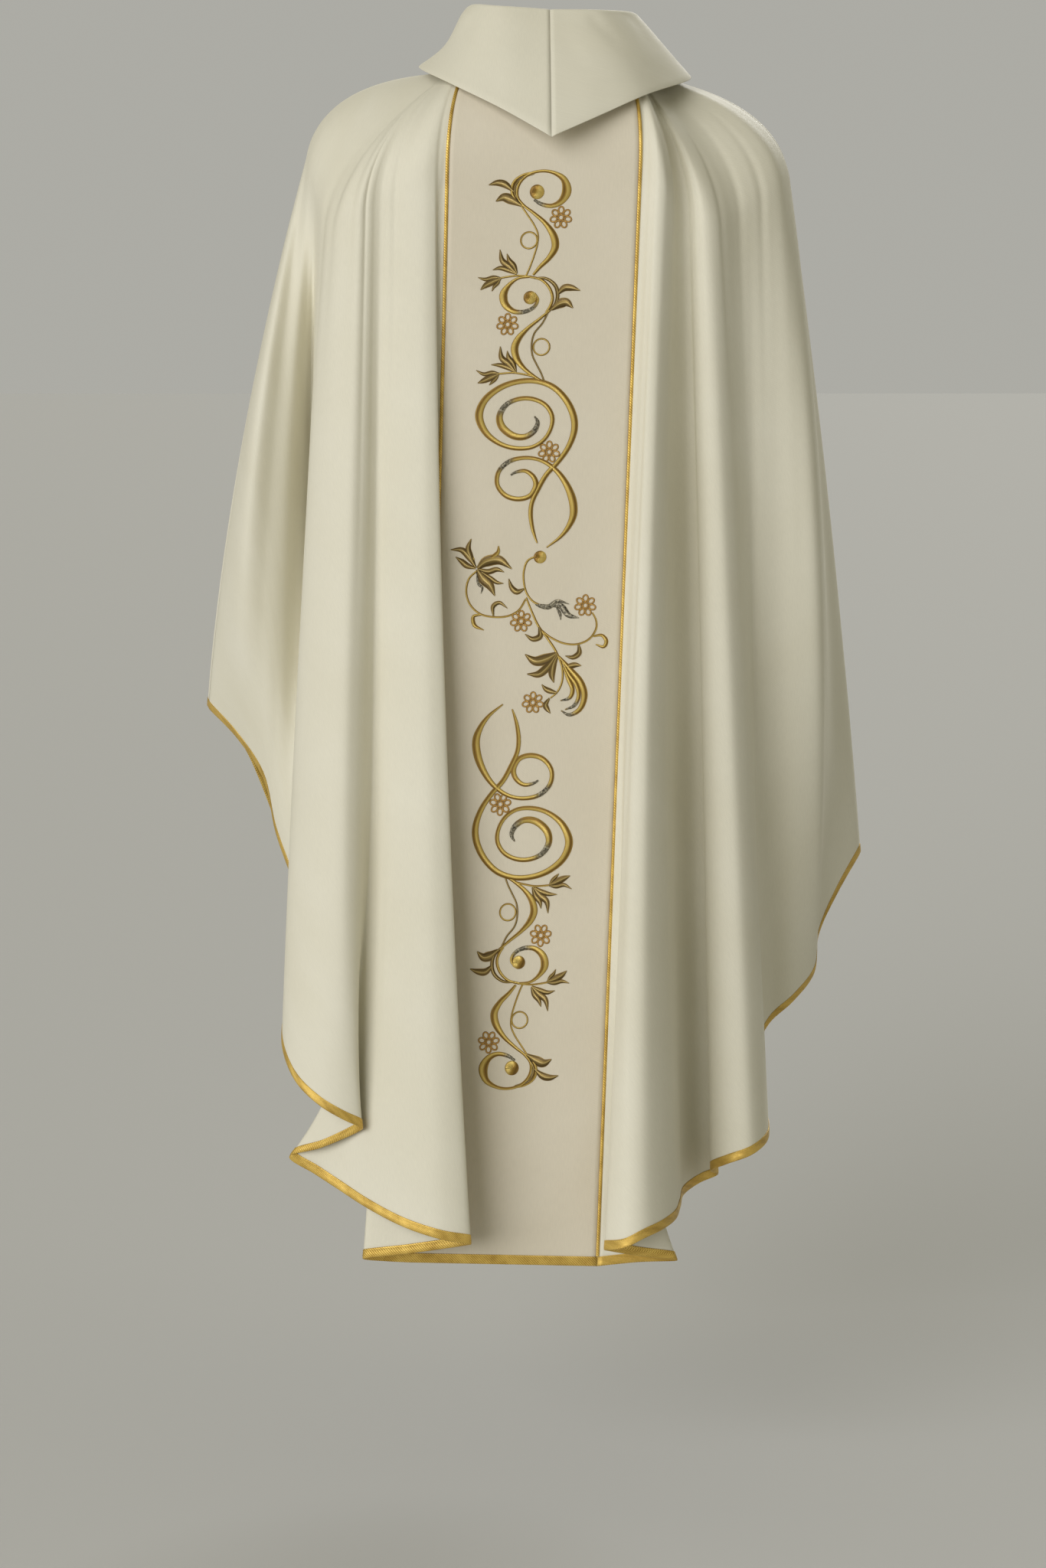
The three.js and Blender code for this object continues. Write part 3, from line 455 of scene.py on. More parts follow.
# ---- Piping ----
# A narrow metallic gold braid is sewn over each of the four seams beside the orphreys. It is a
# plaited cord of gold and copper yarns, flat underneath.
def gold_braid():
    material, shader, uv = new_material("gold_braid", 0.42, 0.55)
    tree = material.node_tree
    plait = add_node(tree, "TexWave", {"Vector": uv, "Scale": 240, "Distortion": 1.2, "Detail Scale": 3},
                     bands_direction="DIAGONAL").outputs["Fac"]
    worn = add_node(tree, "TexNoise", {"Vector": uv, "Scale": 60, "Detail": 4}).outputs["Fac"]
    # painted glints: a fine speckle that lightens the yarn colour as sparkle would
    painted_glint = add_node(tree, "TexNoise", {"Vector": uv, "Scale": 1400}).outputs["Fac"]
    mixed = scaled_sum(tree, painted_glint, 0.6, scaled_sum(tree, plait, 0.45, worn))
    centred = add_node(tree, "Math", {0: mixed, 1: 0.45}, operation="SUBTRACT").outputs["Value"]
    yarns = ramp(tree, [(0.1, (0.32, 0.17, 0.035)), (0.45, (0.56, 0.35, 0.06)), (0.8, (0.88, 0.62, 0.16))],
                 centred)
    tree.links.new(yarns, shader.inputs["Base Color"])
    tree.links.new(bump(tree, plait, 0.5, 0.0003), shader.inputs["Normal"])
    return material


braid = gold_braid()
PIPING_WIDTH, PIPING_RISE, PIPING_GAP = 0.0034, 0.0013, 0.00003
PIPING_STOP = 0.0102      # it ends this far above the hem, where the binding begins
BRAID_SECTION = [(-0.5, 0), (-0.46, 0.55), (-0.28, 0.92), (0, 1), (0.28, 0.92), (0.46, 0.55), (0.5, 0)]


def finish_piece(piece, material, replaced):
    piece.data.materials.append(material)
    bpy.context.scene.collection.objects.link(piece)
    piece.data.shade_smooth()
    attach(piece, "root")
    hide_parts(*replaced)


def cord_object(name, grid):
    """A closed braid from a grid of points: along it, then round it."""
    run = np.concatenate([[0], np.linalg.norm(np.diff(grid.mean(axis=1), axis=0), axis=1).cumsum()])
    around = np.linalg.norm(np.diff(grid, axis=1), axis=2).mean(axis=0)
    around = np.concatenate([[0], around.cumsum()])
    flat = np.stack(np.meshgrid(run, around, indexing="ij"), axis=-1)
    return bpy.data.objects.new(name, grid_mesh(name, grid, flat, closed=True))


for name, skin, edge in (("back_right_piping", back_orphrey, 0), ("back_left_piping", back_orphrey, -1),
                         ("front_left_piping", front_orphrey, 0), ("front_right_piping", front_orphrey, -1)):
    line, outward, across = skin[edge].copy(), skin_normals(skin)[edge], unit(skin[-1] - skin[0])
    line[-1] += unit(line[-2] - line[-1]) * PIPING_STOP
    braid_grid = np.stack([line + across * (PIPING_WIDTH * a)
                           + outward * (PANEL_THICKNESS / 2 + PIPING_GAP + PIPING_RISE * b)
                           for a, b in BRAID_SECTION], axis=1)
    finish_piece(cord_object(name + "_braid", braid_grid), braid, [name])

# ---- Hem binding ----
# One strip of gold woven tape is folded over the raw edge all the way round the hem, orphreys and
# wings included, and stitched through near its upper edge.
BINDING_DEPTH, BINDING_PLY, BINDING_GAP = 0.0095, 0.0004, 0.00012
hem_skins = [back_orphrey[:-1], left_skin[:-1], front_orphrey[:-1], right_skin[:-1]]
whole = np.concatenate(hem_skins)
wrapped = np.concatenate([whole[-2:], whole, whole[:3]])
hem_out = skin_normals(wrapped)[2:-2][:, -1]
wrapped_hem = wrapped[2:-2]
edge_line = wrapped_hem[:, -1]
edge_up = unit(wrapped_hem[:, -3] - wrapped_hem[:, -1])
apart = PANEL_THICKNESS / 2 + BINDING_PLY / 2 + BINDING_GAP      # the tape's middle from the cloth's
# the tape's outer half from its upper edge to the fold, as parts of apart and of its depth
outer_half = [(0.96, 1.0), (1.15, 0.86), (1, 0.80), (1.25, 0.45), (1.05, 0.05), (0.6, -0.05)]
fold_section = outer_half + [(0, -0.07)] + [(-a, b) for a, b in reversed(outer_half)]
binding_grid = np.stack([edge_line + hem_out * (apart * a) + edge_up * (BINDING_DEPTH * b)
                         for a, b in fold_section], axis=1)
piece = cloth_mesh("hem_binding_tape", binding_grid, BINDING_PLY, braid, ["hem_binding"])

# ---- Collar ----
# The collar stands up from the neck seam, rolls over and falls to a point at centre back and
# centre front. Each half has a top collar turned under at its edge, an interlining and an under
# collar; the halves are joined down the centre.
rolls = {
    -1: [(5, -80, -8), (-46, -72, -4), (-75, -24, 0), (-76, 20, -10), (-54, 72, -30), (0, 94, -44)],
    1: [(5, -80, -8), (56, -72, -8), (91, -26, -8), (90, 20, -16), (58, 72, -34), (0, 94, -44)],
}
edges = {
    -1: [(6, -182, -136), (-43, -160, -108), (-90, -126, -84), (-127, -36, -62), (-122, 6, -58),
         (-112, 54, -70), (-66, 140, -146), (0, 168, -200)],
    1: [(6, -182, -136), (55, -160, -114), (98, -130, -94), (148, -36, -73), (142, 6, -66),
        (122, 54, -78), (70, 140, -150), (0, 168, -200)],
}
# how far the middle of the fall stands out and up, from centre back round to centre front
bellies = {-1: [(3, 4), (0, 1), (-5, -6), (0, 2), (4, 5)], 1: [(3, 4), (2, 3), (0, 0), (2, 4), (4, 5)]}
COLLAR_COLUMNS = 64
COLLAR_PLY, INTERLINING_PLY = 0.0006, 0.0004
COLLAR_OFFSET = 0.0007          # from the middle of the interlining to the middle of a collar ply
STAND_FOOT, STAND_INSET = 0.006, 0.004
ROLL_REACH = 0.006              # the roll is this wide on each side of its top
ROLL_OUT_DROP, ROLL_IN_DROP = 0.005, 0.006
CENTRE_DIP, CENTRE_DIP_WIDTH = 0.0005, 0.0018
EDGE_GAP = 0.00003              # air inside the turned edge
EDGE_TUCK = 0.001               # how far the turned edge is drawn in
UNDER_SHORT = 0.0015            # the under ply stops this far short of the edge


def stiffener():
    """A white non-woven: short fibres pressed together every way, with fused dots."""
    material, shader, uv = new_material("stiffener", 0.85)
    tree = material.node_tree
    fibres = add_node(tree, "TexNoise", {"Vector": uv, "Scale": 420, "Detail": 5,
                                         "Distortion": 2.5}).outputs["Fac"]
    dots = add_node(tree, "TexVoronoi", {"Vector": uv, "Scale": 480, "Randomness": 0.15}).outputs["Distance"]
    tone = ramp(tree, [(0.35, (0.60, 0.60, 0.57)), (0.65, (0.76, 0.76, 0.73))], fibres)
    tree.links.new(tone, shader.inputs["Base Color"])
    tree.links.new(bump(tree, scaled_sum(tree, dots, 0.6, fibres), 0.35, 0.0003), shader.inputs["Normal"])
    return material


stiff = stiffener()


def along(points, t):
    """The points of a smooth curve through the control points, t from 0 to 1."""
    fine = smooth_across((np.array(points, float) * MM)[:, None, :], 64)[:, 0]
    place = np.asarray(t) * (len(fine) - 1)
    low = np.minimum(place.astype(int), len(fine) - 2)
    return fine[low] + (fine[low + 1] - fine[low]) * (place - low)[:, None]


def collar_half(side):
    s = np.linspace(0, 1, COLLAR_COLUMNS + 1)
    top, low = along(rolls[side], s), along(edges[side], s)
    turn = math.pi * s
    foot = np.stack([side * (NECK_WIDTH - STAND_INSET) * np.sin(turn),
                     -(NECK_DEPTH - STAND_INSET) * np.cos(turn),
                     NECK_HEIGHT + NECK_RISE * np.cos(turn) + STAND_FOOT], axis=-1)
    away = unit((low - top) * [1, 1, 0])
    up = np.array([0, 0, 1.0])
    belly = along([(a, 0, b) for a, b in bellies[side]], s)
    outside = top + away * ROLL_REACH - up * ROLL_OUT_DROP
    middle = (outside + low) / 2 + away * belly[:, :1] + up * belly[:, 2:]
    lines = [foot, top - away * ROLL_REACH - up * ROLL_IN_DROP, top, outside, middle, low]
    grid = smooth_across(lines, 7).transpose(1, 0, 2)
    return grid if side < 0 else grid[::-1]


def crease(grid, start, end, width, depth):
    """Presses a soft drag crease into the collar from start to end, all in mm."""
    a, b = np.array(start) * MM, np.array(end) * MM
    t = np.clip((grid - a) @ (b - a) / np.dot(b - a, b - a), 0, 1)
    gap = np.linalg.norm(grid - a - t[..., None] * (b - a), axis=2) / MM
    return grid - skin_normals(grid) * (depth * MM * np.exp(-(gap / width) ** 2))[..., None]


creases = {-1: [((2, -112, -34), (-42, -108, -54), 7, 0.9), ((-78, -60, -20), (-70, -96, -58), 8, 1.2)],
           1: [((50, -88, -18), (82, -98, -60), 7, 1.8), ((88, -48, -22), (110, -72, -72), 8, 2.2),
               ((20, -120, -40), (46, -126, -78), 8, 0.8)]}
for side, word in ((-1, "left"), (1, "right")):
    grid = collar_half(side)
    for start, end, width, depth in creases[side]:
        grid = crease(grid, start, end, width, depth)
    normals = skin_normals(grid)
    # the end columns lie in the centre seams' plane; the cloth dips into each seam
    for edge, step in ((0, 1), (-1, -1)):
        normals[edge, :, 0] = 0
        normals[edge] = unit(normals[edge])
        gap = np.linalg.norm(grid - grid[edge][None], axis=2)
        grid = grid - normals * (CENTRE_DIP * np.exp(-(gap / CENTRE_DIP_WIDTH) ** 2))[..., None]
    past = unit(grid[:, -1] - grid[:, -2])
    face = grid + normals * COLLAR_OFFSET
    radius = COLLAR_OFFSET / 2 + EDGE_GAP
    centre = grid[:, -1] + normals[:, -1] * (COLLAR_OFFSET - radius)
    turned = [centre + normals[:, -1] * radius * math.cos(t) + past * radius * math.sin(t)
              for t in np.radians([40, 80, 120, 160])]
    turned += [grid[:, -k] + normals[:, -k] * (COLLAR_OFFSET - 2 * radius) - past * EDGE_TUCK * (k == 1)
               for k in (1, 2, 3)]
    top_collar = np.concatenate([face, np.stack(turned, axis=1)], axis=1)
    piece = cloth_mesh(f"top_collar_{word}", top_collar, COLLAR_PLY, ivory,
                       [f"collar_{word}"])
    lining = grid[:, :-5]
    piece = cloth_mesh(f"collar_interlining_{word}", lining, INTERLINING_PLY, stiff,
                       [f"collar_interfacing_{word}"])
    under = grid - normals * COLLAR_OFFSET
    under[:, -1] -= past * UNDER_SHORT
    piece = cloth_mesh(f"collar_under_ply_{word}", under, COLLAR_PLY, ivory,
                       [f"under_collar_{word}"])

# ---- Embroidery: threads and motifs ----
# Each motif is worked in raised satin stitch with metallic thread: domed gold scrolls with a painted
# highlight on one side and painted bronze shade on the other, some silver, two-tone leaves, and small
# flowers outlined in copper cord with a painted highlight along its middle.
def metal_thread():
    material, shader, uv = new_material("gold_thread", 0.36, 0.6)
    tree = material.node_tree
    kind = add_node(tree, "VertexColor", {}, layer_name="thread")
    parts = add_node(tree, "SeparateColor", {"Color": kind.outputs["Color"]}).outputs
    stitches = add_node(tree, "TexWave", {"Vector": uv, "Scale": 620, "Distortion": 1.5, "Detail": 1},
                        bands_direction="X").outputs["Fac"]
    speckle = add_node(tree, "TexNoise", {"Vector": uv, "Scale": 500, "Detail": 2}).outputs["Fac"]

    def blend(factor, first, second, how="MIX"):
        feeds = {"Factor": factor, "A": first, "B": second}
        return add_node(tree, "Mix", feeds, data_type="RGBA", blend_type=how).outputs["Result"]

    # painted light: across each gold line the colour runs from a painted highlight on one side to painted
    # bronze shade on the other
    gold = ramp(tree, [(0.0, (0.28, 0.16, 0.03)), (0.12, (0.64, 0.45, 0.11)), (0.40, (0.78, 0.59, 0.17)),
                       (0.58, (0.40, 0.24, 0.04)), (0.74, (0.20, 0.11, 0.02)), (0.86, (0.32, 0.19, 0.04)),
                       (1.0, (0.60, 0.42, 0.12))], parts["Red"])
    silver = ramp(tree, [(0.3, (0.035, 0.03, 0.022)), (0.5, (0.21, 0.19, 0.14)), (0.7, (0.62, 0.57, 0.42))],
                  speckle)
    leaf = ramp(tree, [(0.0, (0.50, 0.34, 0.10)), (0.12, (0.09, 0.055, 0.02)), (0.42, (0.23, 0.155, 0.04)),
                       (0.5, (0.72, 0.56, 0.24)), (0.58, (0.44, 0.31, 0.09)), (0.86, (0.14, 0.09, 0.04)),
                       (1.0, (0.55, 0.38, 0.12))], parts["Red"])
    # painted highlight: the copper cord is brightest along its middle and painted darker towards both edges
    copper = ramp(tree, [(0.0, (0.32, 0.16, 0.035)), (0.5, (0.66, 0.40, 0.11)), (1.0, (0.22, 0.10, 0.02))],
                  parts["Red"])
    lines = ramp(tree, [(0.0, (0.55, 0.50, 0.45)), (0.5, (1.0, 1.0, 1.0))], stitches)
    leafy = add_node(tree, "Math", {0: parts["Blue"], 1: 0.7}, operation="GREATER_THAN").outputs["Value"]
    coppery = add_node(tree, "Math", {0: parts["Blue"], 1: 0.5, 2: 0.1}, operation="COMPARE").outputs["Value"]
    colour = blend(coppery, blend(leafy, gold, leaf), copper)
    colour = blend(0.55, blend(parts["Green"], colour, silver), lines, "MULTIPLY")
    tree.links.new(colour, shader.inputs["Base Color"])
    tree.links.new(bump(tree, stitches, 0.6, 0.00025), shader.inputs["Normal"])
    return material


thread = metal_thread()
GOLD, COPPER, LEAF = 0.0, 0.5, 1.0
STITCH_STEP = 1.1         # mm between stations along a stitched line
STITCH_PEAK = 1.15        # mm, the highest a dome stands off the cloth
STITCH_SPREAD = 1.08      # the threads spread a little past the drawn line
STITCH_EDGE = 0.35        # and a fine edging cord runs round them, mm
LAYER_RISE, LAYERS = 0.02, 12     # mm that each line lies above the one before, over and over
PETALS = 7
TURN_ACROSS, TURN_DOWN = -4, 948      # the lower scroll is the upper one turned half way round
STRETCH_FROM, STRETCH = 653, 0.07     # and drawn out a little towards its lower end


class Stitching:
    """Collects domed lines of stitches laid out flat, as (across, down, height) in mm."""

    def __init__(self):
        self.points, self.faces, self.uvs, self.kinds, self.layer = [], [], [], [], 0

    def dome(self, outline, widths, kind, silver, closed=False):
        """A domed line along the outline, widths wide, silver where that is 1."""
        ahead = np.roll(outline, -1, axis=0) if closed else np.vstack([outline[1:], outline[-1:]])
        behind = np.roll(outline, 1, axis=0) if closed else np.vstack([outline[:1], outline[:-1]])
        run = unit(ahead - behind)
        square = np.stack([run[:, 1], -run[:, 0]], axis=-1)
        length = np.concatenate([[0], np.linalg.norm(np.diff(outline, axis=0), axis=1).cumsum()])
        start, count = len(self.points), len(outline)
        side = np.linspace(-1, 1, 7 if widths.max() < 3 else 11)
        base = LAYER_RISE * (self.layer % LAYERS)
        widths = widths * STITCH_SPREAD + STITCH_EDGE
        for i in range(count):
            peak = min(STITCH_PEAK, 0.3 + 0.2 * widths[i])
            for t in side:
                place = outline[i] + square[i] * (t * widths[i] / 2)
                self.points.append((*place, base + peak * math.sqrt(max(0.0, 1 - t * t)) ** 1.2))
                self.uvs.append((length[i] * MM, (t + 1) / 2 * widths[i] * MM))
                self.kinds.append(((t + 1) / 2, silver[i], kind, 1))
        wide = len(side)
        for i in range(count if closed else count - 1):
            j = (i + 1) % count
            self.faces += [(start + i * wide + k, start + j * wide + k, start + j * wide + k + 1,
                            start + i * wide + k + 1) for k in range(wide - 1)]
        self.layer += 1

    def line(self, stations, kind=GOLD, silver=()):
        """stations are (across, down, width); silver lists (from, to) as parts of the length."""
        points = np.array(stations, float)
        rough = smooth_across(points[:, None, :], 12)[:, 0] if len(points) > 2 else points
        length = np.concatenate([[0], np.linalg.norm(np.diff(rough[:, :2], axis=0), axis=1).cumsum()])
        places = np.linspace(0, length[-1], max(6, int(length[-1] / STITCH_STEP)) + 1)
        fine = np.stack([np.interp(places, length, rough[:, k]) for k in range(3)], axis=-1)
        part = places / length[-1]
        bright = np.zeros(len(part))
        for low, high in silver:
            middle, reach = (low + high) / 2, (high - low) / 2
            bright = np.maximum(bright, np.clip(1.6 - 1.6 * abs(part - middle) / (reach + 1e-6), 0, 1))
        self.dome(fine[:, :2], np.maximum(fine[:, 2], 0.5), kind, bright)

    def leaf(self, width, stations, silver=False):
        shape = {3: [0.3, 1.2, 0.1], 4: [0.3, 1.2, 1.05, 0.1], 5: [0.3, 0.9, 1.2, 0.8, 0.1]}[len(stations)]
        spread = [(a, d, width * w) for (a, d), w in zip(stations, shape)]
        self.line(spread, LEAF, [(-1, 2)] if silver else ())

    def ring(self, a, d, radius, width, kind=GOLD):
        turns = np.linspace(0, 2 * math.pi, 33)[:-1]
        outline = np.stack([a + radius * np.cos(turns), d + radius * np.sin(turns)], axis=-1)
        self.dome(outline, np.full(32, width), kind, np.zeros(32), closed=True)

    def petal(self, a, d, heading, reach, long, wide, width):
        turns = np.linspace(0, 2 * math.pi, 25)[:-1]
        out = np.array([math.cos(heading), math.sin(heading)])
        side = np.array([-out[1], out[0]])
        outline = (np.array([a, d]) + out * reach + np.outer(np.cos(turns), out) * long
                   + np.outer(np.sin(turns), side) * wide)
        self.dome(outline, np.full(24, width), COPPER, np.zeros(24), closed=True)

    def ball(self, a, d, radius):
        """A padded boss: rings of stitches rising to its middle, with a painted highlight to one side and
        painted bronze shade to the other.
        """
        start, rings, sides = len(self.points), 6, 28
        for r in range(rings + 1):
            size = radius * math.cos(math.pi / 2 * r / rings)
            height = 0.1 + 1.5 * STITCH_PEAK * math.sin(math.pi / 2 * r / rings)
            for k in range(sides):
                turn = 2 * math.pi * k / sides
                x, y = size * math.cos(turn), size * math.sin(turn)
                self.points.append((a + x, d + y, height))
                self.uvs.append((turn * 3 * MM, size * MM))
                # painted light: the colour runs from a painted highlight on one side of the boss to painted
                # bronze shade on the other
                self.kinds.append((0.5 - 0.36 * (x + 0.4 * y) / radius, 0, GOLD, 1))
        for r in range(rings):
            for k in range(sides):
                n = (k + 1) % sides
                self.faces.append((start + r * sides + k, start + (r + 1) * sides + k,
                                   start + (r + 1) * sides + n, start + r * sides + n))

    def sew(self, name, lay, turned, replaced):
        """Lays the stitches on the cloth as a piece; turned gives the lower scroll."""
        flat = np.array(self.points)
        if turned:
            flat[:, 0], flat[:, 1] = TURN_ACROSS - flat[:, 0], TURN_DOWN - flat[:, 1]
            flat[:, 1] += (flat[:, 1] - STRETCH_FROM) * STRETCH
        mesh = bpy.data.meshes.new(name)
        mesh.from_pydata(lay(flat).tolist(), [], self.faces)
        set_uvs(mesh, np.array(self.uvs))
        colours = mesh.color_attributes.new("thread", "FLOAT_COLOR", "POINT")
        colours.data.foreach_set("color", np.array(self.kinds, float).ravel())
        mesh.validate()
        finish_piece(bpy.data.objects.new(name, mesh), thread, [replaced])


def upper_scroll():
    work = Stitching()
    work.line([(-8.4, 46.7, 1.9), (-1.3, 50.8, 3.3), (9.2, 52.6, 3.8), (18.2, 48.5, 5.7), (23.6, 38.3, 8.5),
               (20.4, 26.9, 5.7), (11.3, 20.8, 3.3), (-0.3, 18.6, 2.4), (-12.9, 21.3, 2.4),
               (-20.7, 26.9, 2.4), (-25.0, 34.9, 2.4), (-24.7, 44.0, 2.1), (-18.6, 51.9, 2.1),
               (-7.9, 59.9, 2.8), (4.1, 70.2, 4.2), (12.7, 82.7, 6.6), (14.3, 93.0, 6.6),
               (8.9, 103.2, 4.7), (0.0, 112.4, 3.3), (-6.6, 120.4, 1.9)], silver=[(-0.04, 0.07)])
    work.line([(-7.2, 19.7, 1.4), (-19.7, 22.4, 1.9), (-28.7, 29.2, 2.4), (-30.6, 38.3, 2.8),
               (-26.4, 46.7, 2.1), (-18.5, 53.1, 1.4)])
    work.line([(-9.4, 21.3, 1.2), (-18.9, 24.7, 1.6), (-27.0, 31.5, 1.9), (-27.8, 40.6, 1.9),
               (-22.2, 48.5, 1.4)], LEAF)
    work.line([(-21.3, 51.9, 1.3), (-14.7, 61.0, 1.3), (-7.4, 71.3, 1.3), (-3.3, 80.4, 1.3),
               (-3.4, 89.5, 1.3), (-6.2, 101.0, 1.3), (-10.8, 114.7, 1.3), (-13.5, 121.1, 1.3)])
    work.line([(-10.0, 122.0, 1.9), (-21.5, 123.8, 2.1), (-30.5, 130.7, 3.8), (-35.3, 139.9, 7.1),
               (-33.3, 149.1, 6.6), (-24.9, 156.0, 4.6), (-13.3, 156.4, 3.6), (-4.2, 151.4, 3.0),
               (-1.2, 144.5, 2.6), (-4.5, 138.5, 2.0)], silver=[(0.62, 0.9)])
    work.line([(-10.0, 122.0, 1.9), (1.7, 125.0, 2.1), (10.1, 133.0, 2.4), (13.6, 143.3, 2.4),
               (10.9, 152.5, 2.4), (7.6, 157.1, 1.9)])
    work.line([(-5.3, 123.4, 1.4), (6.3, 123.8, 2.4), (15.8, 130.7, 3.3), (18.5, 139.9, 3.3),
               (16.6, 149.1, 2.8), (11.0, 155.5, 1.9)], LEAF)
    work.line([(11.0, 155.5, 1.9), (0.9, 164.0, 2.4), (-10.3, 173.2, 3.3), (-19.2, 183.6, 5.7),
               (-22.3, 192.8, 6.6), (-19.6, 203.2, 5.7), (-12.3, 212.4, 3.8), (-1.5, 220.5, 2.4),
               (8.1, 226.3, 1.9)])
    work.line([(9.9, 156.4, 1.3), (4.6, 167.5, 1.3), (-3.2, 177.8, 1.3), (-5.5, 188.2, 1.3),
               (-4.2, 199.7, 1.3), (0.4, 208.9, 1.3), (4.9, 217.0, 1.3), (8.5, 225.6, 1.3)], LEAF)
    work.line([(0.1, 259.9, 0.9), (3.4, 265.7, 3.3), (0.7, 273.8, 4.7), (-8.4, 280.3, 5.2),
               (-20.1, 279.6, 6.1), (-32.2, 270.3, 6.6), (-34.9, 259.9, 5.7), (-28.3, 248.3, 4.2),
               (-14.6, 242.5, 3.8), (-0.6, 243.2, 3.8), (11.3, 249.4, 3.8), (17.6, 259.9, 3.8),
               (16.9, 271.5, 3.3), (10.4, 283.1, 3.3), (-1.0, 290.5, 3.3), (-17.3, 291.9, 3.8),
               (-33.8, 287.3, 4.2), (-48.3, 276.1, 5.7), (-55.4, 259.9, 7.1), (-50.6, 244.8, 6.1),
               (-35.9, 232.1, 5.2), (-17.6, 225.6, 4.7), (1.1, 225.1, 4.7), (17.6, 230.9, 5.2),
               (30.9, 243.6, 5.7), (39.1, 259.9, 6.1), (40.3, 273.8, 5.7), (35.2, 290.1, 4.7),
               (25.3, 305.2, 4.2), (14.1, 318.0, 4.2), (6.5, 332.1, 4.2), (0.7, 346.1, 3.8),
               (-0.2, 357.8, 3.8), (2.2, 371.9, 3.1), (4.9, 380.1, 2.1), (7.5, 386.6, 0.9)],
              silver=[(-0.02, 0.055), (0.125, 0.175)])
    work.line([(-21.6, 318.7, 1.2), (-16.4, 315.7, 2.4), (-7.1, 314.5, 3.3), (1.3, 320.4, 4.2),
               (4.0, 328.6, 4.7), (-1.4, 339.1, 4.2), (-13.0, 342.6, 4.2), (-26.0, 339.1, 4.2),
               (-34.6, 328.6, 3.8), (-33.9, 315.7, 3.8), (-23.8, 305.2, 3.8), (-7.6, 301.3, 3.3),
               (8.9, 304.1, 3.3), (23.3, 313.4, 4.2), (34.4, 327.4, 5.7), (41.4, 343.7, 7.1),
               (42.7, 357.8, 6.6), (38.5, 369.5, 4.7), (30.7, 380.1, 2.8), (17.1, 391.1, 0.9)],
              silver=[(-0.05, 0.05), (0.38, 0.47)])
    work.leaf(5.2, [(-29.0, 38.5), (-38.1, 31.6), (-44.9, 30.2), (-53.7, 32.3)])
    work.leaf(7.2, [(-20.5, 52.5), (-31.5, 46.4), (-38.2, 44.4), (-46.1, 48.2)])
    work.leaf(4.7, [(-23.0, 119.2), (-30.5, 112.1), (-37.5, 106.5), (-40.4, 95.5)])
    work.leaf(3.9, [(-22.6, 118.5), (-26.1, 111.2), (-30.7, 106.1), (-33.2, 99.6)])
    work.leaf(3.6, [(-23.0, 119.6), (-30.7, 115.9), (-39.3, 113.6), (-46.8, 115.5)])
    work.line([(-11.5, 121.6, 1.4), (-22.9, 121.1, 1.4), (-30.4, 122.0, 1.4), (-38.9, 123.5, 1.4)])
    work.leaf(3.2, [(-38.3, 123.3), (-45.6, 123.0), (-53.4, 124.8), (-61.1, 123.0)])
    work.leaf(4.9, [(-38.3, 123.9), (-45.8, 126.7), (-52.8, 130.4), (-58.3, 135.1)])
    work.leaf(2.6, [(-38.7, 123.9), (-41.6, 128.6), (-44.8, 131.9), (-46.9, 136.4)])
    work.leaf(5.2, [(17.8, 139.5), (25.3, 132.9), (32.1, 132.9), (40.7, 135.5)])
    work.leaf(7.2, [(13.0, 154.4), (21.3, 148.3), (27.4, 147.2), (34.2, 152.6)])
    work.line([(8.3, 226.4, 1.5), (-2, 220.9, 1.5), (-12, 218.4, 1.5), (-23, 216.9, 1.4),
               (-36.6, 217.9, 1.4)])
    work.leaf(4.7, [(-20.2, 216.4), (-27.7, 208.0), (-34.8, 202.2), (-36.7, 190.9)])
    work.leaf(3.9, [(-19.8, 215.6), (-23.4, 207.1), (-27.9, 201.8), (-29.5, 195.2)])
    work.leaf(3.6, [(-20.2, 216.6), (-27.9, 212.0), (-36.6, 209.4), (-45.1, 209.0)])
    work.leaf(3.2, [(-36.7, 217.5), (-43.9, 216.9), (-51.8, 218.4), (-59.8, 214.6)])
    work.leaf(4.9, [(-36.6, 217.9), (-44.1, 221.1), (-51.2, 224.5), (-57.8, 227.3)])
    work.leaf(2.6, [(-37.0, 217.9), (-39.9, 222.6), (-43.2, 226.0), (-46.3, 229.2)])
    work.ring(-11.9, 86.3, 8.1, 1.3)
    work.ring(4.3, 191.2, 8.1, 1.3)
    work.ball(-5.7, 39.0, 7.2)
    work.ball(-8.7, 142.6, 6.6)
    return work


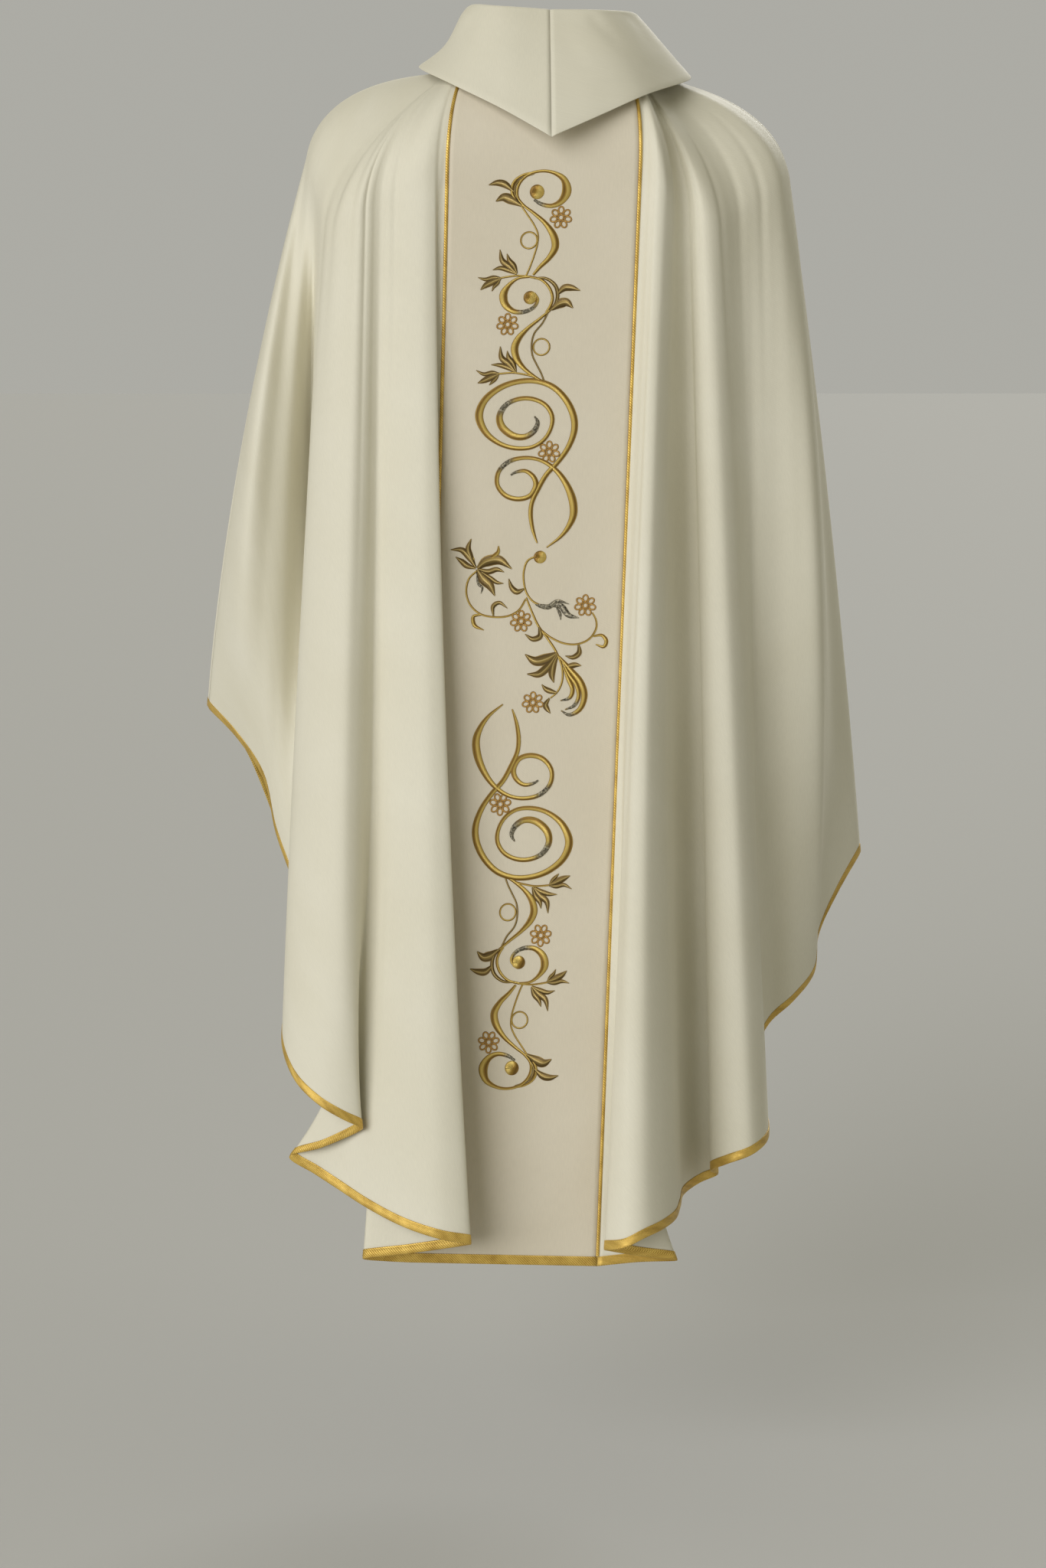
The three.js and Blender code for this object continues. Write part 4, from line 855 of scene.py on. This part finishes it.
def vine():
    work = Stitching()
    work.line([(8.4, 399.5, 1.5), (-1.2, 404.3, 1.6), (-4.8, 414.9, 1.6), (-4.3, 426.7, 1.6),
               (-1.1, 437.3, 1.6), (5.1, 445.1, 1.6), (13.6, 449.8, 1.9)])
    work.line([(-51.3, 414.4, 1.4), (-59.7, 423.1, 1.6), (-62.0, 436.1, 1.6), (-57.8, 449.1, 1.6),
               (-47.3, 458.5, 1.6), (-33.1, 461.6, 1.6), (-19.0, 460.4, 1.6), (-8.6, 454.5, 1.6),
               (-2.0, 443.4, 1.5)])
    work.line([(-1.5, 441.7, 1.4), (4.3, 455.0, 1.6), (12.0, 470.4, 1.9), (22.0, 483.4, 1.9),
               (30.8, 496.4, 1.9), (37.3, 511.9, 1.6), (37.9, 526.2, 1.6), (33.6, 536.9, 1.4),
               (26.8, 543.3, 1.2)])
    work.line([(13.8, 473.4, 1.4), (24.3, 481.5, 1.6), (38.7, 487.7, 1.6), (52.8, 488.1, 1.6),
               (64.4, 482.2, 1.6), (70.3, 471.5, 1.6), (69.5, 463.3, 1.4), (65.6, 456.2, 1.2)])
    work.line([(67.5, 480.3, 1.4), (76.1, 479.1, 2.6), (81.0, 484.9, 3.4), (78.6, 490.7, 2.8),
               (70.4, 488.4, 0.8)])
    work.leaf(4.7, [(-53.4, 411.6), (-59.6, 399.7), (-61.6, 392.4), (-58.9, 382.8)])
    work.line([(-55.4, 404.0, 1.6), (-60.4, 396.0, 2.6), (-60.8, 390.0, 1.8), (-58.9, 383.2, 0.6)])
    work.leaf(4.9, [(-53.3, 411.6), (-60.3, 401.2), (-67.9, 394.3), (-79.2, 393.9)])
    work.leaf(4.5, [(-53.6, 412.6), (-62.5, 409.7), (-67.4, 405.8), (-73.9, 401.2)])
    work.leaf(8.2, [(-51.7, 412.6), (-42.5, 405.5), (-30.7, 403.9), (-17.3, 412.6)])
    work.line([(-42.0, 404.4, 1.6), (-36.0, 400.4, 3.6), (-31.6, 396.0, 3.2), (-31.2, 389.7, 0.6)])
    work.leaf(4.1, [(-51.5, 413.0), (-40.6, 415.8), (-32.2, 413.5), (-24.8, 416.0)])
    work.leaf(7.6, [(-52.0, 413.6), (-45.7, 422.8), (-38.7, 429.5), (-33.1, 440.1)])
    work.line([(-48.0, 421.0, 0.8), (-42.6, 428.2, 1.8), (-37.4, 434.2, 2.0), (-33.6, 439.4, 0.6)])
    work.leaf(3.2, [(-48.5, 415.4), (-38.0, 422.4), (-31.7, 426.6), (-25.0, 427.6)])
    work.leaf(1.8, [(-52.4, 416.2), (-49.8, 428.5), (-46.0, 432.0), (-47.1, 437.8)], True)
    work.leaf(4.4, [(-4.0, 433.0), (-11.0, 435.9), (-16.2, 432.0), (-19.8, 422.8)])
    work.leaf(3.2, [(-33.8, 461.0), (-34.5, 450.7), (-28.5, 447.0), (-20.0, 452.6)])
    work.line([(-46.0, 459.3, 1.2), (-53.9, 461.3, 2.8), (-52.6, 470.0, 3.4), (-43.2, 474.9, 0.6)])
    work.leaf(3.8, [(8.0, 448.2), (13.0, 449.9), (21.7, 450.7), (30.1, 444.9), (41.7, 447.8)], True)
    work.leaf(4.5, [(18.8, 449.6), (33.2, 449.8), (41.8, 459.0), (52.3, 461.7)], True)
    work.leaf(2.2, [(29.4, 451.6), (32.9, 457.1), (34.1, 463.6)], True)
    work.leaf(4.4, [(12.6, 470.9), (13.8, 480.7), (7.0, 483.6), (-1.3, 478.7)])
    work.leaf(4.0, [(53.1, 488.4), (53.8, 497.3), (48.2, 501.6), (40.1, 500.4)])
    work.leaf(8.2, [(31.6, 497.4), (20.9, 503.5), (10.4, 505.9), (-0.5, 499.3)])
    work.leaf(6.3, [(31.6, 498.4), (21.7, 512.7), (13.8, 519.1), (2.2, 519.1)])
    work.line([(27.5, 506.0, 0.7), (20.4, 516.5, 1.3), (12.4, 521.2, 1.2), (3.0, 519.6, 0.6)],
              silver=[(-1, 2)])
    work.leaf(5.6, [(32.4, 499.2), (27.9, 510.7), (27.3, 519.4), (29.6, 527.6)])
    work.leaf(4.4, [(38.6, 511.9), (47.2, 510.1), (51.0, 509.4), (56.6, 510.1)])
    work.line([(33.5, 500.5, 1.4), (45.5, 513.6, 4.2), (57.0, 527.2, 5.6), (61.1, 540.8, 5.6),
               (56.8, 554.5, 4.4), (46.4, 560.2, 3.0), (38.1, 556.0, 0.8)], silver=[(0.8, 1.04)])
    work.line([(37.5, 506.2, 1.4), (45.1, 519.4, 3.6), (52.3, 529.2, 3.8), (55.3, 540.8, 3.6),
               (51.2, 550.6, 3.0), (41.9, 555.0, 0.8)], silver=[(0.7, 1.04)])
    work.line([(38.4, 511.6, 1.2), (44.0, 523.3, 3.8), (48.8, 535.0, 3.8), (46.2, 542.8, 3.2),
               (37.1, 545.9, 0.8)], silver=[(0.75, 1.04)])
    work.leaf(4.1, [(33.4, 538.0), (26.1, 536.2), (21.8, 534.2), (17.5, 529.6)])
    work.leaf(4.1, [(25.8, 543.4), (22.0, 550.6), (23.9, 554.5), (27.2, 558.8)])
    work.ball(10.9, 400.7, 6.4)
    return work


def flower(a, d):
    work = Stitching()
    for k in range(PETALS):
        work.petal(a, d, math.radians(-90 + k * 360 / PETALS), 7.3, 3.3, 2.6, 1.3)
    work.ring(a, d, 2.7, 1.3, COPPER)
    return work


scroll_flowers = [(18.9, 64.0), (-30.2, 169.1), (16.0, 295.4)]
vine_flowers = [(-5.8, 465.6), (58.3, 449.1), (9.2, 548.1)]


def on_orphrey(first, second, above):
    """Lays flat points on an orphrey: across from first seam to second, down from above its top."""
    tops, hems = ([np.array(rib[k]) * MM for rib in (first, second)] for k in (1, 2))
    length = np.linalg.norm((tops[0] + tops[1] - hems[0] - hems[1]) / 2)
    out = unit(np.cross(tops[1] - tops[0], tops[0] + tops[1] - hems[0] - hems[1]))

    def lay(flat):
        drop = ((flat[:, 1] - above) * MM / length)[:, None]
        ends = [top + (hem - top) * drop for top, hem in zip(tops, hems)]
        span = ends[1] - ends[0]
        wide = np.linalg.norm(span, axis=1, keepdims=True)
        return (ends[0] + span * (0.5 + flat[:, :1] * MM / wide)
                + out * (PANEL_THICKNESS / 2 + 0.00004 + flat[:, 2:] * MM))
    return lay


# ---- Embroidery on the back and the front ----
# The upper scroll, the vine and the turned scroll run down the middle of each orphrey; the front
# repeats the back.
for prefix, lay in (("", on_orphrey(left_ribs[0], right_ribs[0], 15)),
                    ("front_", on_orphrey(right_ribs[-1], left_ribs[-1], 10))):
    for motif, work, flowers, turned in (("upper_scroll", upper_scroll(), scroll_flowers, False),
                                         ("vine", vine(), vine_flowers, False),
                                         ("lower_scroll", upper_scroll(), scroll_flowers, True)):
        work.sew(f"{prefix}{motif}_stitches", lay, turned, f"{prefix}{motif}_embroidery")
        for k, (a, d) in enumerate(flowers, 1):
            flower(a, d).sew(f"{prefix}{motif}_blossom_{k}", lay, turned, f"{prefix}{motif}_flower_{k}")

# ---- Embroidery backing ----
# A strip of white non-woven stiffener lies behind the stitches of each orphrey, inside the garment.
# It is stitched through with the motifs and trimmed a little outside them.
BACKING_WIDTH, BACKING_PLY = 0.160, 0.0005
BACKING_LIFT, BACKING_SPARE = 1.1, 20         # mm behind the orphrey, and mm longer at its foot
for side, first, second in (("back", left_ribs[0], right_ribs[0]),
                            ("front", right_ribs[-1], left_ribs[-1])):
    low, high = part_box(f"{side}_embroidery_backing")
    half, length = BACKING_WIDTH / MM / 2, (high[2] - low[2]) / MM + BACKING_SPARE
    start = (first[1][2] + second[1][2]) / 2 - high[2] / MM
    across, down = np.meshgrid(np.linspace(-half, half, 17), start + np.linspace(0, length, 48),
                               indexing="ij")
    flat = np.stack([across, down, np.full_like(across, -BACKING_LIFT)], axis=-1)
    grid = on_orphrey(first, second, 0)(flat.reshape(-1, 3)).reshape(flat.shape)
    piece = cloth_mesh(f"{side}_backing_strip", grid, BACKING_PLY, stiff,
                       [f"{side}_embroidery_backing"])


# ---- Floor and light ----
# The garment hangs free at its worn height above a pale floor, under soft studio lamps.
FLOOR_HEIGHT = -1.55
bpy.ops.object.select_all(action="DESELECT")
bpy.ops.mesh.primitive_plane_add(size=60, location=(0, 0, FLOOR_HEIGHT))
floor = bpy.context.object
bpy.ops.object.transform_apply(location=True)
floor.name = "floor"
floor_paint = bpy.data.materials.new("floor_paint")
floor_paint.use_nodes = True
floor_paint.node_tree.nodes["Principled BSDF"].inputs["Base Color"].default_value = (0.56, 0.56, 0.55, 1)
floor_paint.node_tree.nodes["Principled BSDF"].inputs["Roughness"].default_value = 0.9
floor.data.materials.append(floor_paint)

world = bpy.data.worlds.new("studio")
world.use_nodes = True
air = world.node_tree.nodes["Background"]
air.inputs["Color"].default_value = (1.0, 0.95, 0.68, 1)
air.inputs["Strength"].default_value = 0.24
backdrop = world.node_tree.nodes.new("ShaderNodeBackground")      # the same pale grey as the floor
backdrop.inputs["Color"].default_value = (0.415, 0.41, 0.375, 1)
seen = world.node_tree.nodes.new("ShaderNodeLightPath")
either = world.node_tree.nodes.new("ShaderNodeMixShader")
world.node_tree.links.new(seen.outputs["Is Camera Ray"], either.inputs[0])
world.node_tree.links.new(air.outputs["Background"], either.inputs[1])
world.node_tree.links.new(backdrop.outputs["Background"], either.inputs[2])
world.node_tree.links.new(either.outputs["Shader"], world.node_tree.nodes["World Output"].inputs["Surface"])
bpy.context.scene.world = world


def soft_sun(name, toward, strength, spread, colour=(1, 1, 1)):
    """A broad distant lamp that shines toward a direction."""
    data = bpy.data.lights.new(name, "SUN")
    data.energy, data.angle, data.color = strength, math.radians(spread), colour
    light = bpy.data.objects.new(name, data)
    flat = math.hypot(toward[0], toward[1])
    light.rotation_euler = (math.atan2(flat, -toward[2]), 0, math.atan2(-toward[0], toward[1]))
    bpy.context.scene.collection.objects.link(light)


soft_sun("key_lamp", (0.55, 0.70, -0.28), 2.3, 50, (0.99, 0.985, 1.0))
soft_sun("side_lamp", (-1.0, 0.55, -0.3), 0.16, 40)
soft_sun("rear_lamp", (-0.3, -1.0, -0.5), 1.35, 30)
bpy.context.scene.view_settings.view_transform = "Standard"
